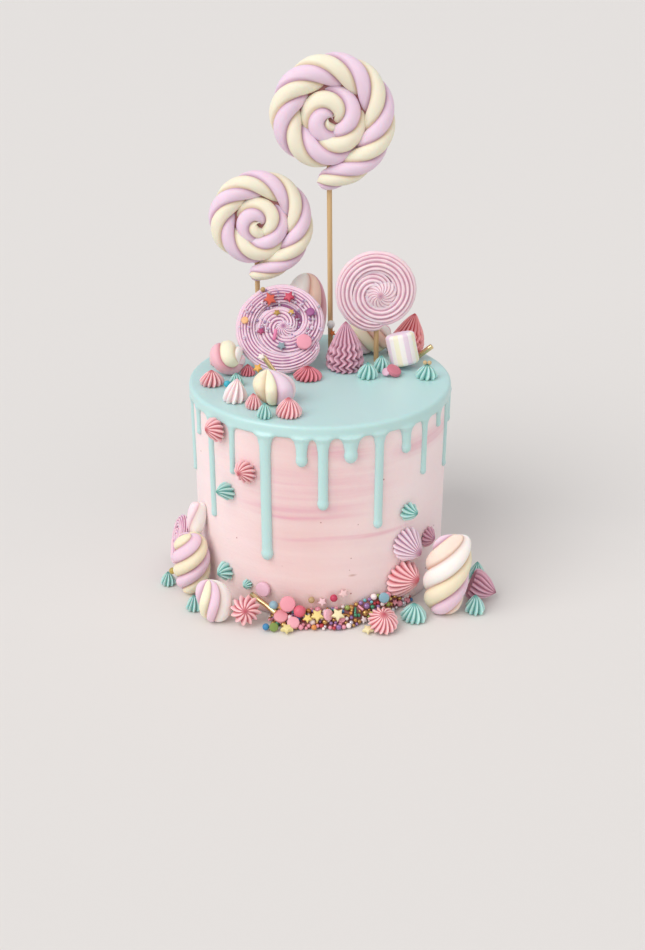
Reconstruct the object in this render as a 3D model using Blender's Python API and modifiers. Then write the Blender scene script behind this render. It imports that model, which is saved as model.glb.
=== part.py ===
"""Round drip cake dressed with marshmallow lollipops, meringue kisses and sprinkles.

The frame's origin is the centre of the cake's underside, +Z up, and the cake's front faces -Y.
"""
import math
import random

import bmesh
import bpy
from mathutils import Matrix, Vector

MM = 0.001
GAP = 0.3                      # clearance between pieces that rest on each other, in mm

CAKE_RADIUS = 79.5             # six inch sponge with a 3 mm coat of buttercream, in mm
CAKE_TOP = 125.4
CAKE_EDGE = 2.5
ICING_THICKNESS = 1.5
ICING_INSIDE = CAKE_RADIUS + GAP
ICING_RIM = ICING_INSIDE + ICING_THICKNESS
ICING_TOP = CAKE_TOP + GAP + ICING_THICKNESS
ON_TOP = ICING_TOP + GAP       # where a topping's underside lies on the icing
ON_FLOOR = GAP
STICK_RADIUS = 1.6
STICK_DEPTH = 45.0             # how far each stick is pushed into the cake
STICK_GRIP = 11.0              # how far it reaches into its lollipop

UP = Vector((0, 0, 1))
TO_VIEWER = Vector((0, -0.9, 0.43))


def new_collection(name):
    """Makes a collection and shows it in the scene."""
    made = bpy.data.collections.new(name)
    bpy.context.scene.collection.children.link(made)
    return made


for leftover in list(bpy.data.objects):
    bpy.data.objects.remove(leftover, do_unlink=True)
CAKE_PARTS = new_collection("marshmallow_cake")
CUTTERS = new_collection("cutters")
LOOSE = new_collection("loose_pieces")


def finish(name, colour, roughness, metallic=0.0):
    """A Principled material with one colour."""
    made = bpy.data.materials.new(name)
    made.use_nodes = True
    shader = made.node_tree.nodes["Principled BSDF"]
    shader.inputs["Base Color"].default_value = (*colour, 1.0)
    shader.inputs["Roughness"].default_value = roughness
    shader.inputs["Metallic"].default_value = metallic
    return made


BUTTERCREAM = finish("pink_buttercream", (0.86, 0.62, 0.62), 0.75)
ICING = finish("mint_icing", (0.50, 0.74, 0.71), 0.35)
PINK = finish("pink_meringue", (0.80, 0.36, 0.42), 0.7)
DEEP_PINK = finish("deep_pink_meringue", (0.66, 0.18, 0.27), 0.7)
TEAL = finish("mint_meringue", (0.35, 0.68, 0.63), 0.7)
LILAC = finish("lilac_meringue", (0.75, 0.52, 0.68), 0.7)
MAUVE = finish("mauve_meringue", (0.60, 0.30, 0.45), 0.7)
BLUSH = finish("blush_meringue", (0.90, 0.72, 0.75), 0.7)
CREAM = finish("cream_marshmallow", (0.90, 0.83, 0.55), 0.8)
PALE_PINK = finish("pink_marshmallow", (0.86, 0.62, 0.72), 0.8)
WOOD = finish("stick_wood", (0.62, 0.42, 0.22), 0.6)
GOLD = finish("gold_coat", (0.80, 0.58, 0.28), 0.25, 1.0)
SPRINKLES = finish("sprinkle_mix", (0.75, 0.42, 0.35), 0.4)


def place(mesh, name, material, at, turn=None, group=CAKE_PARTS):
    """Shows a mesh as a named object, its origin at a point given in mm."""
    made = bpy.data.objects.new(name, mesh)
    made.matrix_world = Matrix.Translation(Vector(at) * MM) @ (turn or Matrix()).to_4x4()
    if material:
        mesh.materials.append(material)
    mesh.shade_smooth()
    mesh.set_sharp_from_angle(angle=math.radians(40))
    group.objects.link(made)
    return made


def mesh_of(shape, name):
    """Turns a bmesh, built in mm, into a mesh in metres."""
    bmesh.ops.recalc_face_normals(shape, faces=shape.faces)
    bmesh.ops.scale(shape, vec=(MM, MM, MM), verts=shape.verts)
    mesh = bpy.data.meshes.new(name)
    shape.to_mesh(mesh)
    shape.free()
    return mesh


def shaped_ball(name, segments, rows, point_at):
    """A sphere primitive whose points are moved to point_at(height share, azimuth)."""
    shape = bmesh.new()
    bmesh.ops.create_uvsphere(shape, u_segments=segments, v_segments=rows, radius=1.0)
    for vert in shape.verts:
        share = round(math.acos(max(-1.0, min(1.0, -vert.co.z))) / math.pi * rows) / rows
        around = math.atan2(vert.co.y, vert.co.x) if 0 < share < 1 else 0.0
        vert.co = Vector(point_at(share, around))
    return mesh_of(shape, name)


def turn_to(facing):
    """The rotation that tips an upright piece until its top points along facing."""
    return UP.rotation_difference(Vector(facing).normalized()).to_matrix()


def add_boolean(target, operation, other=None, group=None):
    """Cuts or joins with one object, or with all of a collection."""
    step = target.modifiers.new(operation.lower(), "BOOLEAN")
    step.operation = operation
    step.solver = "EXACT"
    if group:
        step.operand_type = "COLLECTION"
        step.collection = group
    else:
        step.object = other
    return step


def bake(target):
    """Applies an object's modifiers by taking its evaluated mesh."""
    graph = bpy.context.evaluated_depsgraph_get()
    solid = bpy.data.meshes.new_from_object(target.evaluated_get(graph))
    target.modifiers.clear()
    target.data = solid


# The sponge under its coat of buttercream, uncut, so one solid with a soft top edge
def make_cake():
    shape = bmesh.new()
    middle = Matrix.Translation((0, 0, CAKE_TOP / 2))
    bmesh.ops.create_cone(shape, cap_ends=True, segments=60, radius1=CAKE_RADIUS, radius2=CAKE_RADIUS,
                          depth=CAKE_TOP, matrix=middle)
    cake = place(mesh_of(shape, "cake"), "cake", BUTTERCREAM, (0, 0, 0))
    top_edge = cake.modifiers.new("top_edge", "BEVEL")
    top_edge.limit_method = "WEIGHT"
    top_edge.width = CAKE_EDGE * MM
    top_edge.segments = 2
    weight = cake.data.attributes.new("bevel_weight_edge", "FLOAT", "EDGE")
    for edge in cake.data.edges:
        if all(cake.data.vertices[v].co.z > 0.9 * CAKE_TOP * MM for v in edge.vertices):
            weight.data[edge.index].value = 1.0
    return cake


# Each drip: azimuth in degrees, height of its lowest point and width, both in mm
FRONT_DRIPS = (
    (-168, 71, 4), (-156, 102, 4), (-144, 53.5, 4.5), (-130, 89, 4), (-113.2, 38.5, 6.2),
    (-97.5, 102.5, 6.4), (-88.7, 75, 6.2), (-77.2, 104.5, 7.4), (-64.6, 59, 5.6), (-51, 103.5, 6),
    (-39.4, 84, 4.4), (-27.5, 109, 4), (-16, 76, 4),
)
BACK_DRIPS = (
    (-2, 98, 5), (12, 66, 5.4), (27, 106, 5), (43, 88, 5.8), (60, 48, 6), (76, 101, 5.4),
    (92, 80, 5.6), (108, 104, 6.4), (125, 57, 5.4), (142, 94, 5), (158, 72, 5.6), (175, 90, 4.6),
)
SKIRT_DROP = 7.0               # how far the icing runs over the rim between drips
# Across a drip: place in half widths, share of its length reached there, and thickness in mm
DRIP_OUTLINE = (
    (-1.6, 0, 1.1), (-1.05, 0.12, 1.1), (-0.9, 0.95, 1.2), (0, 1, 2.6),
    (0.9, 0.95, 1.2), (1.05, 0.12, 1.1), (1.6, 0, 1.1),
)


def drip_columns():
    """Columns round the rim: azimuth, lowest height, and thickness there, drip by drip."""
    drips = sorted(FRONT_DRIPS + BACK_DRIPS)
    skirt = ICING_TOP - SKIRT_DROP
    columns = []
    for (azimuth, low, width), after in zip(drips, drips[1:] + [(drips[0][0] + 360,)]):
        half = math.degrees(width / 2 / ICING_RIM)
        for side, share, thick in DRIP_OUTLINE:
            columns.append((azimuth + side * half, skirt - share * (skirt - low), thick))
        columns.append(((azimuth + after[0]) / 2, skirt + 1.2, 1.1))
    return columns


# The icing skin: a pool over the top that runs down the side in drips
def make_icing():
    columns = drip_columns()
    shape = bmesh.new()

    def ring(radius_and_height):
        points = []
        for azimuth, low, thick in columns:
            radius, height = radius_and_height(low, thick)
            turn = math.radians(azimuth)
            points.append(shape.verts.new((radius * math.cos(turn), radius * math.sin(turn), height)))
        return points

    under = CAKE_TOP + GAP
    rim_drop = 1.6
    rings = [
        ring(lambda low, thick: (ICING_INSIDE, under)),
        ring(lambda low, thick: (ICING_INSIDE, low)),
        ring(lambda low, thick: (ICING_INSIDE + 0.6 * thick, low)),
        ring(lambda low, thick: (ICING_INSIDE + thick, low + 1.6)),
        ring(lambda low, thick: (ICING_RIM, ICING_TOP - rim_drop)),
        ring(lambda low, thick: (ICING_RIM - rim_drop, ICING_TOP)),
    ]
    for lower, upper in zip(rings, rings[1:]):
        for i in range(len(columns)):
            j = (i + 1) % len(columns)
            shape.faces.new((lower[i], lower[j], upper[j], upper[i]))
    shape.faces.new(rings[0])
    shape.faces.new(rings[-1])
    return place(mesh_of(shape, "icing"), "icing_drip", ICING, (0, 0, 0))


def make_kiss(name, material, at, radius, height, facing=UP, ridges=7, twist=25, lean=(0, 0, 0),
              rows=5):
    """A star-piped meringue kiss on a flat base, its ridges turning as they run to the tip.

    lean is how far the tip was dragged from over the base's centre, in the frame's directions.
    """
    turn = turn_to(facing)
    drag = turn.transposed() @ Vector(lean)

    def point_at(share, around):
        rise = max(0.0, (share * rows - 1) / (rows - 1))
        if share == 0:
            return (0, 0, 0)
        spread = radius * math.cos(rise * math.pi / 2) ** 0.8 * (0.94 + 0.26 * rise)
        valley = 0.5 - 0.5 * math.cos(ridges * (around - math.pi / 2))
        spread *= 1 - 0.26 * valley
        angle = around + math.radians(twist) * rise
        lift = height * (0.75 * rise + 0.25 * rise ** 3)
        drift = rise ** 1.5
        return (spread * math.cos(angle) + drag.x * drift, spread * math.sin(angle) + drag.y * drift,
                lift + drag.z * drift)

    mesh = shaped_ball(name, 2 * ridges, rows, point_at)
    return place(mesh, name, material, at, turn)


def make_wall_kiss(name, material, azimuth, height_up, radius, height, off=0.0, **extra):
    """A kiss stuck to the cake's side, its tip pointing outwards."""
    turn = math.radians(azimuth)
    outward = Vector((math.cos(turn), math.sin(turn), 0))
    at = outward * (CAKE_RADIUS + GAP + off) + Vector((0, 0, height_up))
    return make_kiss(name, material, at, radius, height, facing=outward, **extra)


def make_marshmallow(name, material, at, width, height, facing=UP, strands=4, twist=120, groove=0.2,
                     depth=None, crimp=0.35, fullness=0.55, spin=0):
    """A twisted marshmallow: strands wound round each other, drawn in at both ends.

    crimp flattens the top end into an edge, as where the strands were cut.
    """
    depth = depth or width
    rows = 8

    def point_at(share, around):
        spread = math.sin(math.pi * share) ** fullness
        seam = abs(math.cos(strands * around / 2)) ** 3
        spread *= 1 - groove * seam
        angle = around + math.radians(spin + twist * share)
        squeeze = 1 - crimp * max(0.0, 2 * share - 1) ** 2
        lift = height * (0.5 - 0.53 * math.cos(math.pi * share))
        return (width / 2 * spread * math.cos(angle), depth / 2 * spread * math.sin(angle) * squeeze,
                max(0.0, lift))

    mesh = shaped_ball(name, 3 * strands, rows, point_at)
    return place(mesh, name, material, at, turn_to(facing))


def make_barrel(name, material, at, width, height, facing=UP):
    """A short cut marshmallow with flat ends and a rounded edge."""
    shape = bmesh.new()
    bmesh.ops.create_cone(shape, cap_ends=True, segments=16, radius1=width / 2, radius2=width / 2,
                          depth=height, matrix=Matrix.Translation((0, 0, height / 2)))
    barrel = place(mesh_of(shape, name), name, material, at, turn_to(facing))
    edge = barrel.modifiers.new("edge", "BEVEL")
    edge.width = 2.2 * MM
    edge.segments = 2
    edge.limit_method = "ANGLE"
    return barrel


# How the rope winds in: azimuth in degrees seen from the front, radius of its middle as a share of
# the lollipop's radius, and thickness as a share of the rope's
ROPE_PATH = (
    (-112, 0.92, 0.55), (-85, 0.86, 0.72), (-45, 0.78, 0.94), (0, 0.75, 1.0), (90, 0.74, 1.02),
    (180, 0.74, 1.02), (225, 0.57, 1.02), (270, 0.42, 1.0), (315, 0.3, 1.0), (360, 0.27, 0.98),
    (430, 0.26, 0.94), (525, 0.23, 0.86),
)
ROPE_STRANDS = 4
ROPE_VALLEY = 0.84             # how far out the rope reaches between two strands, as a share
ROPE_THICKNESS = 0.5           # rope diameter as a share of the lollipop's radius
ROPE_PITCH = 60.0              # length of rope in which its strands go once round, in mm
ROPE_STEP = 18.0               # degrees between points of the path
ROPE_CORE = (0.6, 0.16)        # radius and thickness of the middle, where the turns are pressed together
ROPE_MERGE = 0.4               # edges shorter than this, in mm, are closed up once the turns are joined


def along_path(azimuth):
    """Radius and thickness of the rope at an azimuth, eased between the path's points."""
    for (start, radius_a, thick_a), (end, radius_b, thick_b) in zip(ROPE_PATH, ROPE_PATH[1:]):
        if azimuth <= end:
            share = (azimuth - start) / (end - start)
            return radius_a + (radius_b - radius_a) * share, thick_a + (thick_b - thick_a) * share
    return ROPE_PATH[-1][1:]


def rope_section(radius):
    """Closed outline of four strands side by side, a ridge and a valley each."""
    outline = bpy.data.curves.new("rope_section", "CURVE")
    outline.dimensions = "2D"
    spline = outline.splines.new("POLY")
    count = 2 * ROPE_STRANDS
    spline.points.add(count - 1)
    for i in range(count):
        turn = 2 * math.pi * i / count
        reach = radius * (1.0 if i % 2 else ROPE_VALLEY)
        spline.points[i].co = (reach * math.cos(turn) * MM, reach * math.sin(turn) * MM, 0, 1)
    spline.use_cyclic_u = True
    section = bpy.data.objects.new("rope_section", outline)
    section.hide_render = True
    CUTTERS.objects.link(section)
    return section


def press_turns(lollipop, radius, centre, tip):
    """Joins the rope's turns, which touch and stick, into one solid disc."""
    share, thick = ROPE_CORE
    shape = bmesh.new()
    bmesh.ops.create_cone(shape, cap_ends=True, segments=12, radius1=share * radius, radius2=share * radius,
                          depth=thick * radius, matrix=Matrix.Rotation(math.radians(90), 4, "X"))
    core = place(mesh_of(shape, "core"), lollipop.name + "_core", None, centre, tip, LOOSE)
    add_boolean(lollipop, "UNION", other=core).use_self = True
    bpy.context.view_layer.update()
    bake(lollipop)
    bpy.data.objects.remove(core, do_unlink=True)
    shape = bmesh.new()
    shape.from_mesh(lollipop.data)
    bmesh.ops.triangulate(shape, faces=shape.faces)
    bmesh.ops.dissolve_degenerate(shape, dist=ROPE_MERGE * MM, edges=shape.edges)
    bmesh.ops.triangulate(shape, faces=shape.faces)
    shape.to_mesh(lollipop.data)
    shape.free()


def make_lollipop(name, material, centre, radius, tip_back):
    """A marshmallow rope wound into a disc that stands on a stick and faces the front."""
    start, end = ROPE_PATH[0][0], ROPE_PATH[-1][0]
    steps = round((end - start) / ROPE_STEP)
    path = bpy.data.curves.new(name, "CURVE")
    path.dimensions = "3D"
    path.twist_mode = "MINIMUM"
    path.bevel_mode = "OBJECT"
    path.bevel_object = rope_section(radius * ROPE_THICKNESS / 2)
    path.use_fill_caps = True
    spline = path.splines.new("POLY")
    spline.points.add(steps)
    run = 0.0
    before = None
    for i in range(steps + 1):
        azimuth = start + (end - start) * i / steps
        reach, thick = along_path(azimuth)
        turn = math.radians(azimuth)
        here = Vector((reach * radius * math.cos(turn), 0, reach * radius * math.sin(turn)))
        run += (here - before).length if before else 0.0
        before = here
        point = spline.points[i]
        point.co = (*(here * MM), 1)
        point.tilt = -2 * math.pi * run / ROPE_PITCH
        ends = min(1.0, 0.62 + 0.25 * min(i, steps - i))
        point.radius = thick * ends
    rope = bpy.data.objects.new(name + "_path", path)
    CUTTERS.objects.link(rope)
    graph = bpy.context.evaluated_depsgraph_get()
    mesh = bpy.data.meshes.new_from_object(rope.evaluated_get(graph))
    bpy.data.objects.remove(rope, do_unlink=True)
    shape = bmesh.new()
    shape.from_mesh(mesh)
    bmesh.ops.remove_doubles(shape, verts=shape.verts, dist=0.01 * MM)
    bmesh.ops.recalc_face_normals(shape, faces=shape.faces)
    shape.to_mesh(mesh)
    shape.free()
    tip = Matrix.Rotation(math.radians(-tip_back), 3, "X")
    lollipop = place(mesh, name, material, centre, tip)
    press_turns(lollipop, radius, centre, tip)
    return lollipop


SWIRL_SWEEP = math.radians(190)    # how far a swirl's ridges turn from its middle to its rim


def swirl_height(share, thickness, bowl):
    """How high a swirl's face lies over its back, at a share of its radius."""
    rounding = min(1.0, 5 * (1 - share)) ** 0.5
    return thickness * (0.45 + 0.55 * rounding) - bowl * math.exp(-((share - 0.5) / 0.13) ** 2)


def make_rosette(name, material, centre, radius, thickness, facing, ridge, bowl=0.0, segments=32, rows=10):
    """A flat swirl piped from the middle out, its ridges winding round as they widen.

    bowl is how deep the furrow lies between the swirl's outer turn and its middle.
    """
    back_rows = 2

    def point_at(share, around):
        row = round(share * rows)
        if row <= back_rows:
            reach = 0.9 * radius * row / back_rows
            return (reach * math.cos(around), reach * math.sin(around), 0)
        out = 1 - (row - back_rows - 1) / (rows - back_rows - 1)
        swirl = ridge * math.cos(segments / 2 * (around - math.pi / 2)) if out > 0 else 0.0
        angle = around + SWIRL_SWEEP * (1 - out)
        reach = out * radius + 0.4 * swirl
        return (reach * math.cos(angle), reach * math.sin(angle), swirl_height(out, thickness, bowl) + swirl)

    return place(shaped_ball(name, segments, rows, point_at), name, material, centre, turn_to(facing))


def make_rod(name, material, low, high, radius, sides=10):
    """A straight round rod between two points."""
    low, high = Vector(low), Vector(high)
    shape = bmesh.new()
    length = (high - low).length
    bmesh.ops.create_cone(shape, cap_ends=True, segments=sides, radius1=radius, radius2=radius,
                          depth=length, matrix=Matrix.Translation((0, 0, length / 2)))
    return place(mesh_of(shape, name), name, material, low, turn_to(high - low))


def bore(target, low, high, radius):
    """Cuts the hole that a stick is pushed into, a gap wider than the stick."""
    cutter = make_rod(target.name + "_bore", None, low, high, radius + GAP, 12)
    CAKE_PARTS.objects.unlink(cutter)
    CUTTERS.objects.link(cutter)
    cutter.hide_render = True
    cutter.display_type = "WIRE"
    add_boolean(target, "DIFFERENCE", other=cutter)


def make_stick(name, head, foot, top):
    """A wooden stick from deep in the cake up into its lollipop, with its three holes."""
    foot, top = Vector(foot), Vector(top)
    along = (top - foot).normalized()
    deep = foot - along * STICK_DEPTH
    make_rod(name, WOOD, deep, top, STICK_RADIUS, 12)
    bore(bpy.data.objects["cake"], deep - along * GAP, foot + along * 5, STICK_RADIUS)
    bore(bpy.data.objects["icing_drip"], foot - along * 5, foot + along * 5, STICK_RADIUS)
    bore(head, foot, top + along * GAP, STICK_RADIUS)


def sprinkle_shape(kind, size):
    """One sprinkle in mm, in its own frame: a pearl, a disc, a star or a short rod."""
    shape = bmesh.new()
    if kind == "pearl":
        bmesh.ops.create_icosphere(shape, subdivisions=1, radius=size / 2)
    elif kind == "disc":
        bmesh.ops.create_cone(shape, cap_ends=True, segments=9, radius1=size / 2, radius2=size / 2.3,
                              depth=0.32 * size)
    elif kind == "rod":
        bmesh.ops.create_cone(shape, cap_ends=True, segments=5, radius1=size / 5, radius2=size / 5,
                              depth=size)
    else:
        bmesh.ops.create_cone(shape, cap_ends=True, segments=10, radius1=size / 2, radius2=size / 2,
                              depth=0.4 * size)
        for vert in shape.verts:
            point = round(math.atan2(vert.co.y, vert.co.x) / math.radians(36))
            if point % 2:
                vert.co.x *= 0.5
                vert.co.y *= 0.5
    return mesh_of(shape, kind)


def fuse(target, pieces):
    """Joins sprinkles (kind, size, place, facing) onto the piece that they lie on."""
    for number, (kind, size, at, facing) in enumerate(pieces):
        place(sprinkle_shape(kind, size), f"{target.name}_{kind}_{number}", None, at, turn_to(facing), LOOSE)
    add_boolean(target, "UNION", group=LOOSE)
    bpy.context.view_layer.update()
    bake(target)
    for piece in list(LOOSE.objects):
        bpy.data.objects.remove(piece, do_unlink=True)


# Meringue kisses lying on the icing round the edge of the pile
def dress_top():
    make_kiss("kiss_pink_far_left", PINK, (-66, -14.5, ON_TOP), 7.8, 10, lean=(0, -2, 0))
    make_kiss("kiss_mint_pale", TEAL, (-51, -16, ON_TOP), 5, 8, ridges=6)
    make_kiss("kiss_blush", BLUSH, (-50.5, -41.5, ON_TOP), 7.6, 14, lean=(2, 1, 0))
    make_kiss("kiss_pink_small", PINK, (-38.6, -52, ON_TOP), 5.2, 9, ridges=6)
    make_kiss("kiss_mint_front", TEAL, (-31.5, -66.5, ON_TOP), 4.8, 9, ridges=6)
    make_kiss("kiss_pink_front", PINK, (-17.8, -63.2, ON_TOP), 8.2, 11, ridges=8)
    make_kiss("kiss_mauve_tall", MAUVE, (16, 13.5, ON_TOP), 12.6, 31, ridges=9, twist=10, rows=7)
    make_kiss("kiss_deep_pink", DEEP_PINK, (-5, -1, ON_TOP), 8, 6.5)
    make_kiss("kiss_deep_pink_left", DEEP_PINK, (-45, 2, ON_TOP), 5, 7, ridges=6)
    make_kiss("kiss_mint_middle", TEAL, (29.5, -2.5, ON_TOP), 6.8, 10)
    make_kiss("kiss_mint_behind", TEAL, (38.5, 9.5, ON_TOP), 6, 10, ridges=6)
    make_kiss("kiss_mint_right", TEAL, (66, -3, ON_TOP), 7.2, 9)
    make_kiss("kiss_pink_tall_back", PINK, (56.5, 44, ON_TOP), 11.5, 26, ridges=8, lean=(4, 0, 0), rows=6)
    make_kiss("kiss_pink_back_left", PINK, (-64, 21, ON_TOP), 7, 12)
    make_kiss("kiss_lilac_back", LILAC, (31, 66, ON_TOP), 9, 14)
    make_kiss("kiss_pink_back", PINK, (-33, 66.5, ON_TOP), 8, 12)
    place(sprinkle_shape("disc", 9.5), "disc_pink", PINK, (45.8, 1, ON_TOP + 5), turn_to((0.5, -0.7, 0.5)))


# Twisted marshmallows stacked on the icing
def stack_marshmallows():
    make_marshmallow("marshmallow_front", CREAM, (-26, -43.5, ON_TOP), 25, 20, twist=20, crimp=0.6,
                     spin=20, fullness=0.9)
    make_marshmallow("marshmallow_left", PALE_PINK, (-57.5, 4, ON_TOP), 21, 21, twist=60, crimp=0.2)
    make_marshmallow("marshmallow_standing", CREAM, (-10, 57, ON_TOP), 28, 49, twist=110, crimp=0.55)
    make_marshmallow("marshmallow_lying", CREAM, (13.5, 41, ON_TOP + 9.3), 21, 33, twist=200, crimp=0.1,
                     facing=(1, 0.08, 0.05), fullness=0.5)
    make_barrel("marshmallow_barrel", CREAM, (54, 14.5, ON_TOP + 2.1), 18.5, 20, facing=(-0.22, 0.2, 1))


# Kisses stuck to the side of the cake
def dress_side():
    make_wall_kiss("kiss_side_pink_high", PINK, -137.4, 115, 7.8, 9, off=1.7, lean=(0, 0, 2))
    make_wall_kiss("kiss_side_pink_low", PINK, -122.2, 93.6, 7.8, 9, lean=(0, 0, 2))
    make_wall_kiss("kiss_side_mint_left", TEAL, -132.8, 76.5, 6.2, 8, lean=(-2, 0, 2))
    make_wall_kiss("kiss_side_mint_right", TEAL, -49.3, 64, 6.3, 8, lean=(1, 0, 1))
    make_wall_kiss("kiss_side_lilac", LILAC, -50, 43, 10.8, 9, ridges=9, twist=10, lean=(4, 0, -5))


# The two clusters at the foot of the cake
def dress_foot():
    make_marshmallow("marshmallow_foot_left", CREAM, (-80.5, -47, ON_FLOOR), 24, 41, twist=150, crimp=0.4)
    make_marshmallow("marshmallow_foot_front", PALE_PINK, (-63, -79.5, ON_FLOOR), 22, 27, twist=50,
                     crimp=0.5)
    make_marshmallow("marshmallow_foot_right", CREAM, (75.5, -70.5, ON_FLOOR), 28, 53, twist=100, crimp=0.55,
                     fullness=0.5, depth=26)
    make_marshmallow("marshmallow_foot_back", PALE_PINK, (-78.5, -38, 42), 11, 15.5, twist=60,
                     facing=(0.15, 0.1, 1))
    make_kiss("kiss_foot_mint_far_left", TEAL, (-97, -38.5, ON_FLOOR), 5.2, 9, ridges=6)
    make_kiss("kiss_foot_mint_left", TEAL, (-77.5, -68.5, ON_FLOOR), 5.5, 10, ridges=6)
    make_kiss("kiss_foot_pink_left", PINK, (-44.5, -84.5, ON_FLOOR + 9.2), 9.8, 9, facing=TO_VIEWER,
              ridges=8)
    make_wall_kiss("kiss_foot_mint_wall", TEAL, -136, 20, 6.5, 8)
    make_wall_kiss("kiss_foot_mint_tiny", TEAL, -123.3, 17, 3.6, 5, ridges=5)
    make_wall_kiss("kiss_foot_pink_wall", PINK, -52, 19.5, 11.6, 11, ridges=9, lean=(4, 0, 3))
    make_kiss("kiss_foot_pink_low", PINK, (37, -90, ON_FLOOR), 10, 9, ridges=8, lean=(3, 2, 0))
    make_kiss("kiss_foot_mint_front", TEAL, (57, -79.5, ON_FLOOR), 8.5, 11)
    make_kiss("kiss_foot_mauve", MAUVE, (94, -56, 11.8), 10.5, 17, facing=(0.92, -0.18, -0.35), ridges=8)
    make_kiss("kiss_foot_mint_back", TEAL, (101, -31, ON_FLOOR), 5.8, 12, ridges=6)
    make_kiss("kiss_foot_mint_far_right", TEAL, (95, -71.5, ON_FLOOR), 6.5, 12, ridges=6)
    make_wall_kiss("kiss_foot_deep_pink", DEEP_PINK, -34, 38, 7, 6)


HEAP_START, HEAP_END = -112.0, -60.0    # azimuths between which the sprinkles are banked
HEAP_HEIGHT = 7.5
HEAP_FRONT = 93.0              # how far in front of the cake's axis their straight front edge lies


def heap_reach(azimuth):
    """How far out the bank of sprinkles goes: a straight front, drawn in where kisses lie."""
    straight = HEAP_FRONT / math.sin(math.radians(-azimuth))
    left = ICING_INSIDE + 4 + 4.5 * (azimuth - HEAP_START)
    right = 84.0 if azimuth > -75.5 else straight
    return min(straight, left, right)


def heap_top(azimuth):
    """Height of the bank against the cake, lower towards both ends."""
    return HEAP_HEIGHT * min(1.0, 0.45 + (azimuth - HEAP_START) / 14, 0.45 + (HEAP_END - azimuth) / 14)


def heap_lift(azimuth, share):
    """Height of the bank's surface at a share of the way from the cake to its front edge."""
    high = heap_top(azimuth)
    if share < 0.45:
        return high * (1 - 0.1 * share / 0.45)
    return 2.4 + (0.9 * high - 2.4) * (1 - share) / 0.55


# Sprinkles banked along the cake's foot: a low curved core with the loose ones on it
def make_heap():
    draw = random.Random(7)
    inner = CAKE_RADIUS + GAP
    steps = 14
    shape = bmesh.new()
    rows = []
    for i in range(steps + 1):
        azimuth = HEAP_START + (HEAP_END - HEAP_START) * i / steps
        turn = math.radians(azimuth)
        reach = heap_reach(azimuth)
        section = ((inner, ON_FLOOR), (inner, heap_top(azimuth)),
                   (0.55 * inner + 0.45 * reach, heap_lift(azimuth, 0.45)), (reach, 2.4), (reach, ON_FLOOR))
        rows.append([shape.verts.new((r * math.cos(turn), r * math.sin(turn), z)) for r, z in section])
    for one, other in zip(rows, rows[1:]):
        for i in range(len(one)):
            j = (i + 1) % len(one)
            shape.faces.new((one[i], one[j], other[j], other[i]))
    shape.faces.new(rows[0])
    shape.faces.new(rows[-1])
    heap = place(mesh_of(shape, "sprinkle_heap"), "sprinkle_heap", SPRINKLES, (0, 0, 0))

    pieces = []
    for azimuth in range(-107, -78, 3):
        for share in (0.2, 0.56, 0.9):
            here = azimuth + draw.uniform(-0.8, 0.8)
            turn = math.radians(here)
            kind = draw.choice(("pearl", "pearl", "pearl", "disc", "star", "rod"))
            size = {"pearl": draw.uniform(3.4, 4.6), "disc": 6.5, "star": 6.0, "rod": 6.0}[kind]
            reach = max(inner + (heap_reach(here) - inner) * share, inner + size / 2 + 0.4)
            tip = Vector((0.5 * math.cos(turn) + draw.uniform(-0.4, 0.4), 0.5 * math.sin(turn), 1))
            if kind == "rod":
                tip = Vector((draw.uniform(-1, 1), draw.uniform(-1, 1), 0.25))
            lift = max(heap_lift(here, share), ON_FLOOR + size / 2)
            pieces.append((kind, size, (reach * math.cos(turn), reach * math.sin(turn), lift), tip))
    fuse(heap, pieces)
    return heap


def swirl_point(centre, facing, across, upward, lift):
    """A point on a tilted swirl, from its middle across and upward, in mm."""
    out = Vector(facing).normalized()
    side = Vector((1, 0, 0))
    high = out.cross(side)
    return Vector(centre) + side * across + high * upward + out * lift


# The mauve swirl that leans back on the pile, strewn with sprinkles
def make_mauve_rosette():
    centre, facing = (-23.5, 22.5, 148.6), (0, -0.77, 0.64)
    radius, thickness, bowl = 30, 10, 4
    rosette = make_rosette("rosette_mauve", MAUVE, centre, radius, thickness, facing, 0.9, bowl)
    strewn = (("disc", 9.5, 13.5, -11), ("star", 8, -8, 18), ("star", 7, 4.5, 19.5), ("disc", 5, 17.5, 9),
              ("star", 5, 0, 7), ("pearl", 3.6, 2.5, -12.5), ("rod", 6, -22.5, 1), ("pearl", 4, 6, 8),
              ("pearl", 3.4, 12, 19), ("pearl", 3.4, -15, 12), ("pearl", 3.4, 22, 3),
              ("pearl", 3.4, -20, 13))
    pieces = []
    for kind, size, across, upward in strewn:
        lift = swirl_height(math.hypot(across, upward) / radius, thickness, bowl) + 0.4
        pieces.append((kind, size, swirl_point(centre, facing, across, upward, lift), facing))
    fuse(rosette, pieces)
    return rosette


# Two lollipops and a pink swirl, each held up by a stick that stands in the cake
def raise_heads():
    radius, height = 38.0, 276.0
    tall = make_lollipop("lollipop_tall", CREAM, (7.2, 40, height), radius, 4)
    make_stick("lollipop_tall_stick", tall, (7.2, 40, ICING_TOP), (5.6, 40, height - radius + STICK_GRIP))
    radius, height = 33.0, 211.0
    short = make_lollipop("lollipop_short", PALE_PINK, (-37.5, 48, height), radius, 6)
    make_stick("lollipop_short_stick", short, (-41, 48.5, ICING_TOP),
               (-40.2, 48, height - radius + STICK_GRIP))
    radius, height, thickness = 26.0, 173.0, 9.0
    pink = make_rosette("rosette_pink", LILAC, (35.5, 31, height), radius, thickness, (0, -1, 0.1), 0.8)
    bpy.context.view_layer.update()
    make_stick("rosette_pink_stick", pink, (36.3, 26.5, ICING_TOP), (35.6, 26.8, height - 0.4 * radius))


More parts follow.
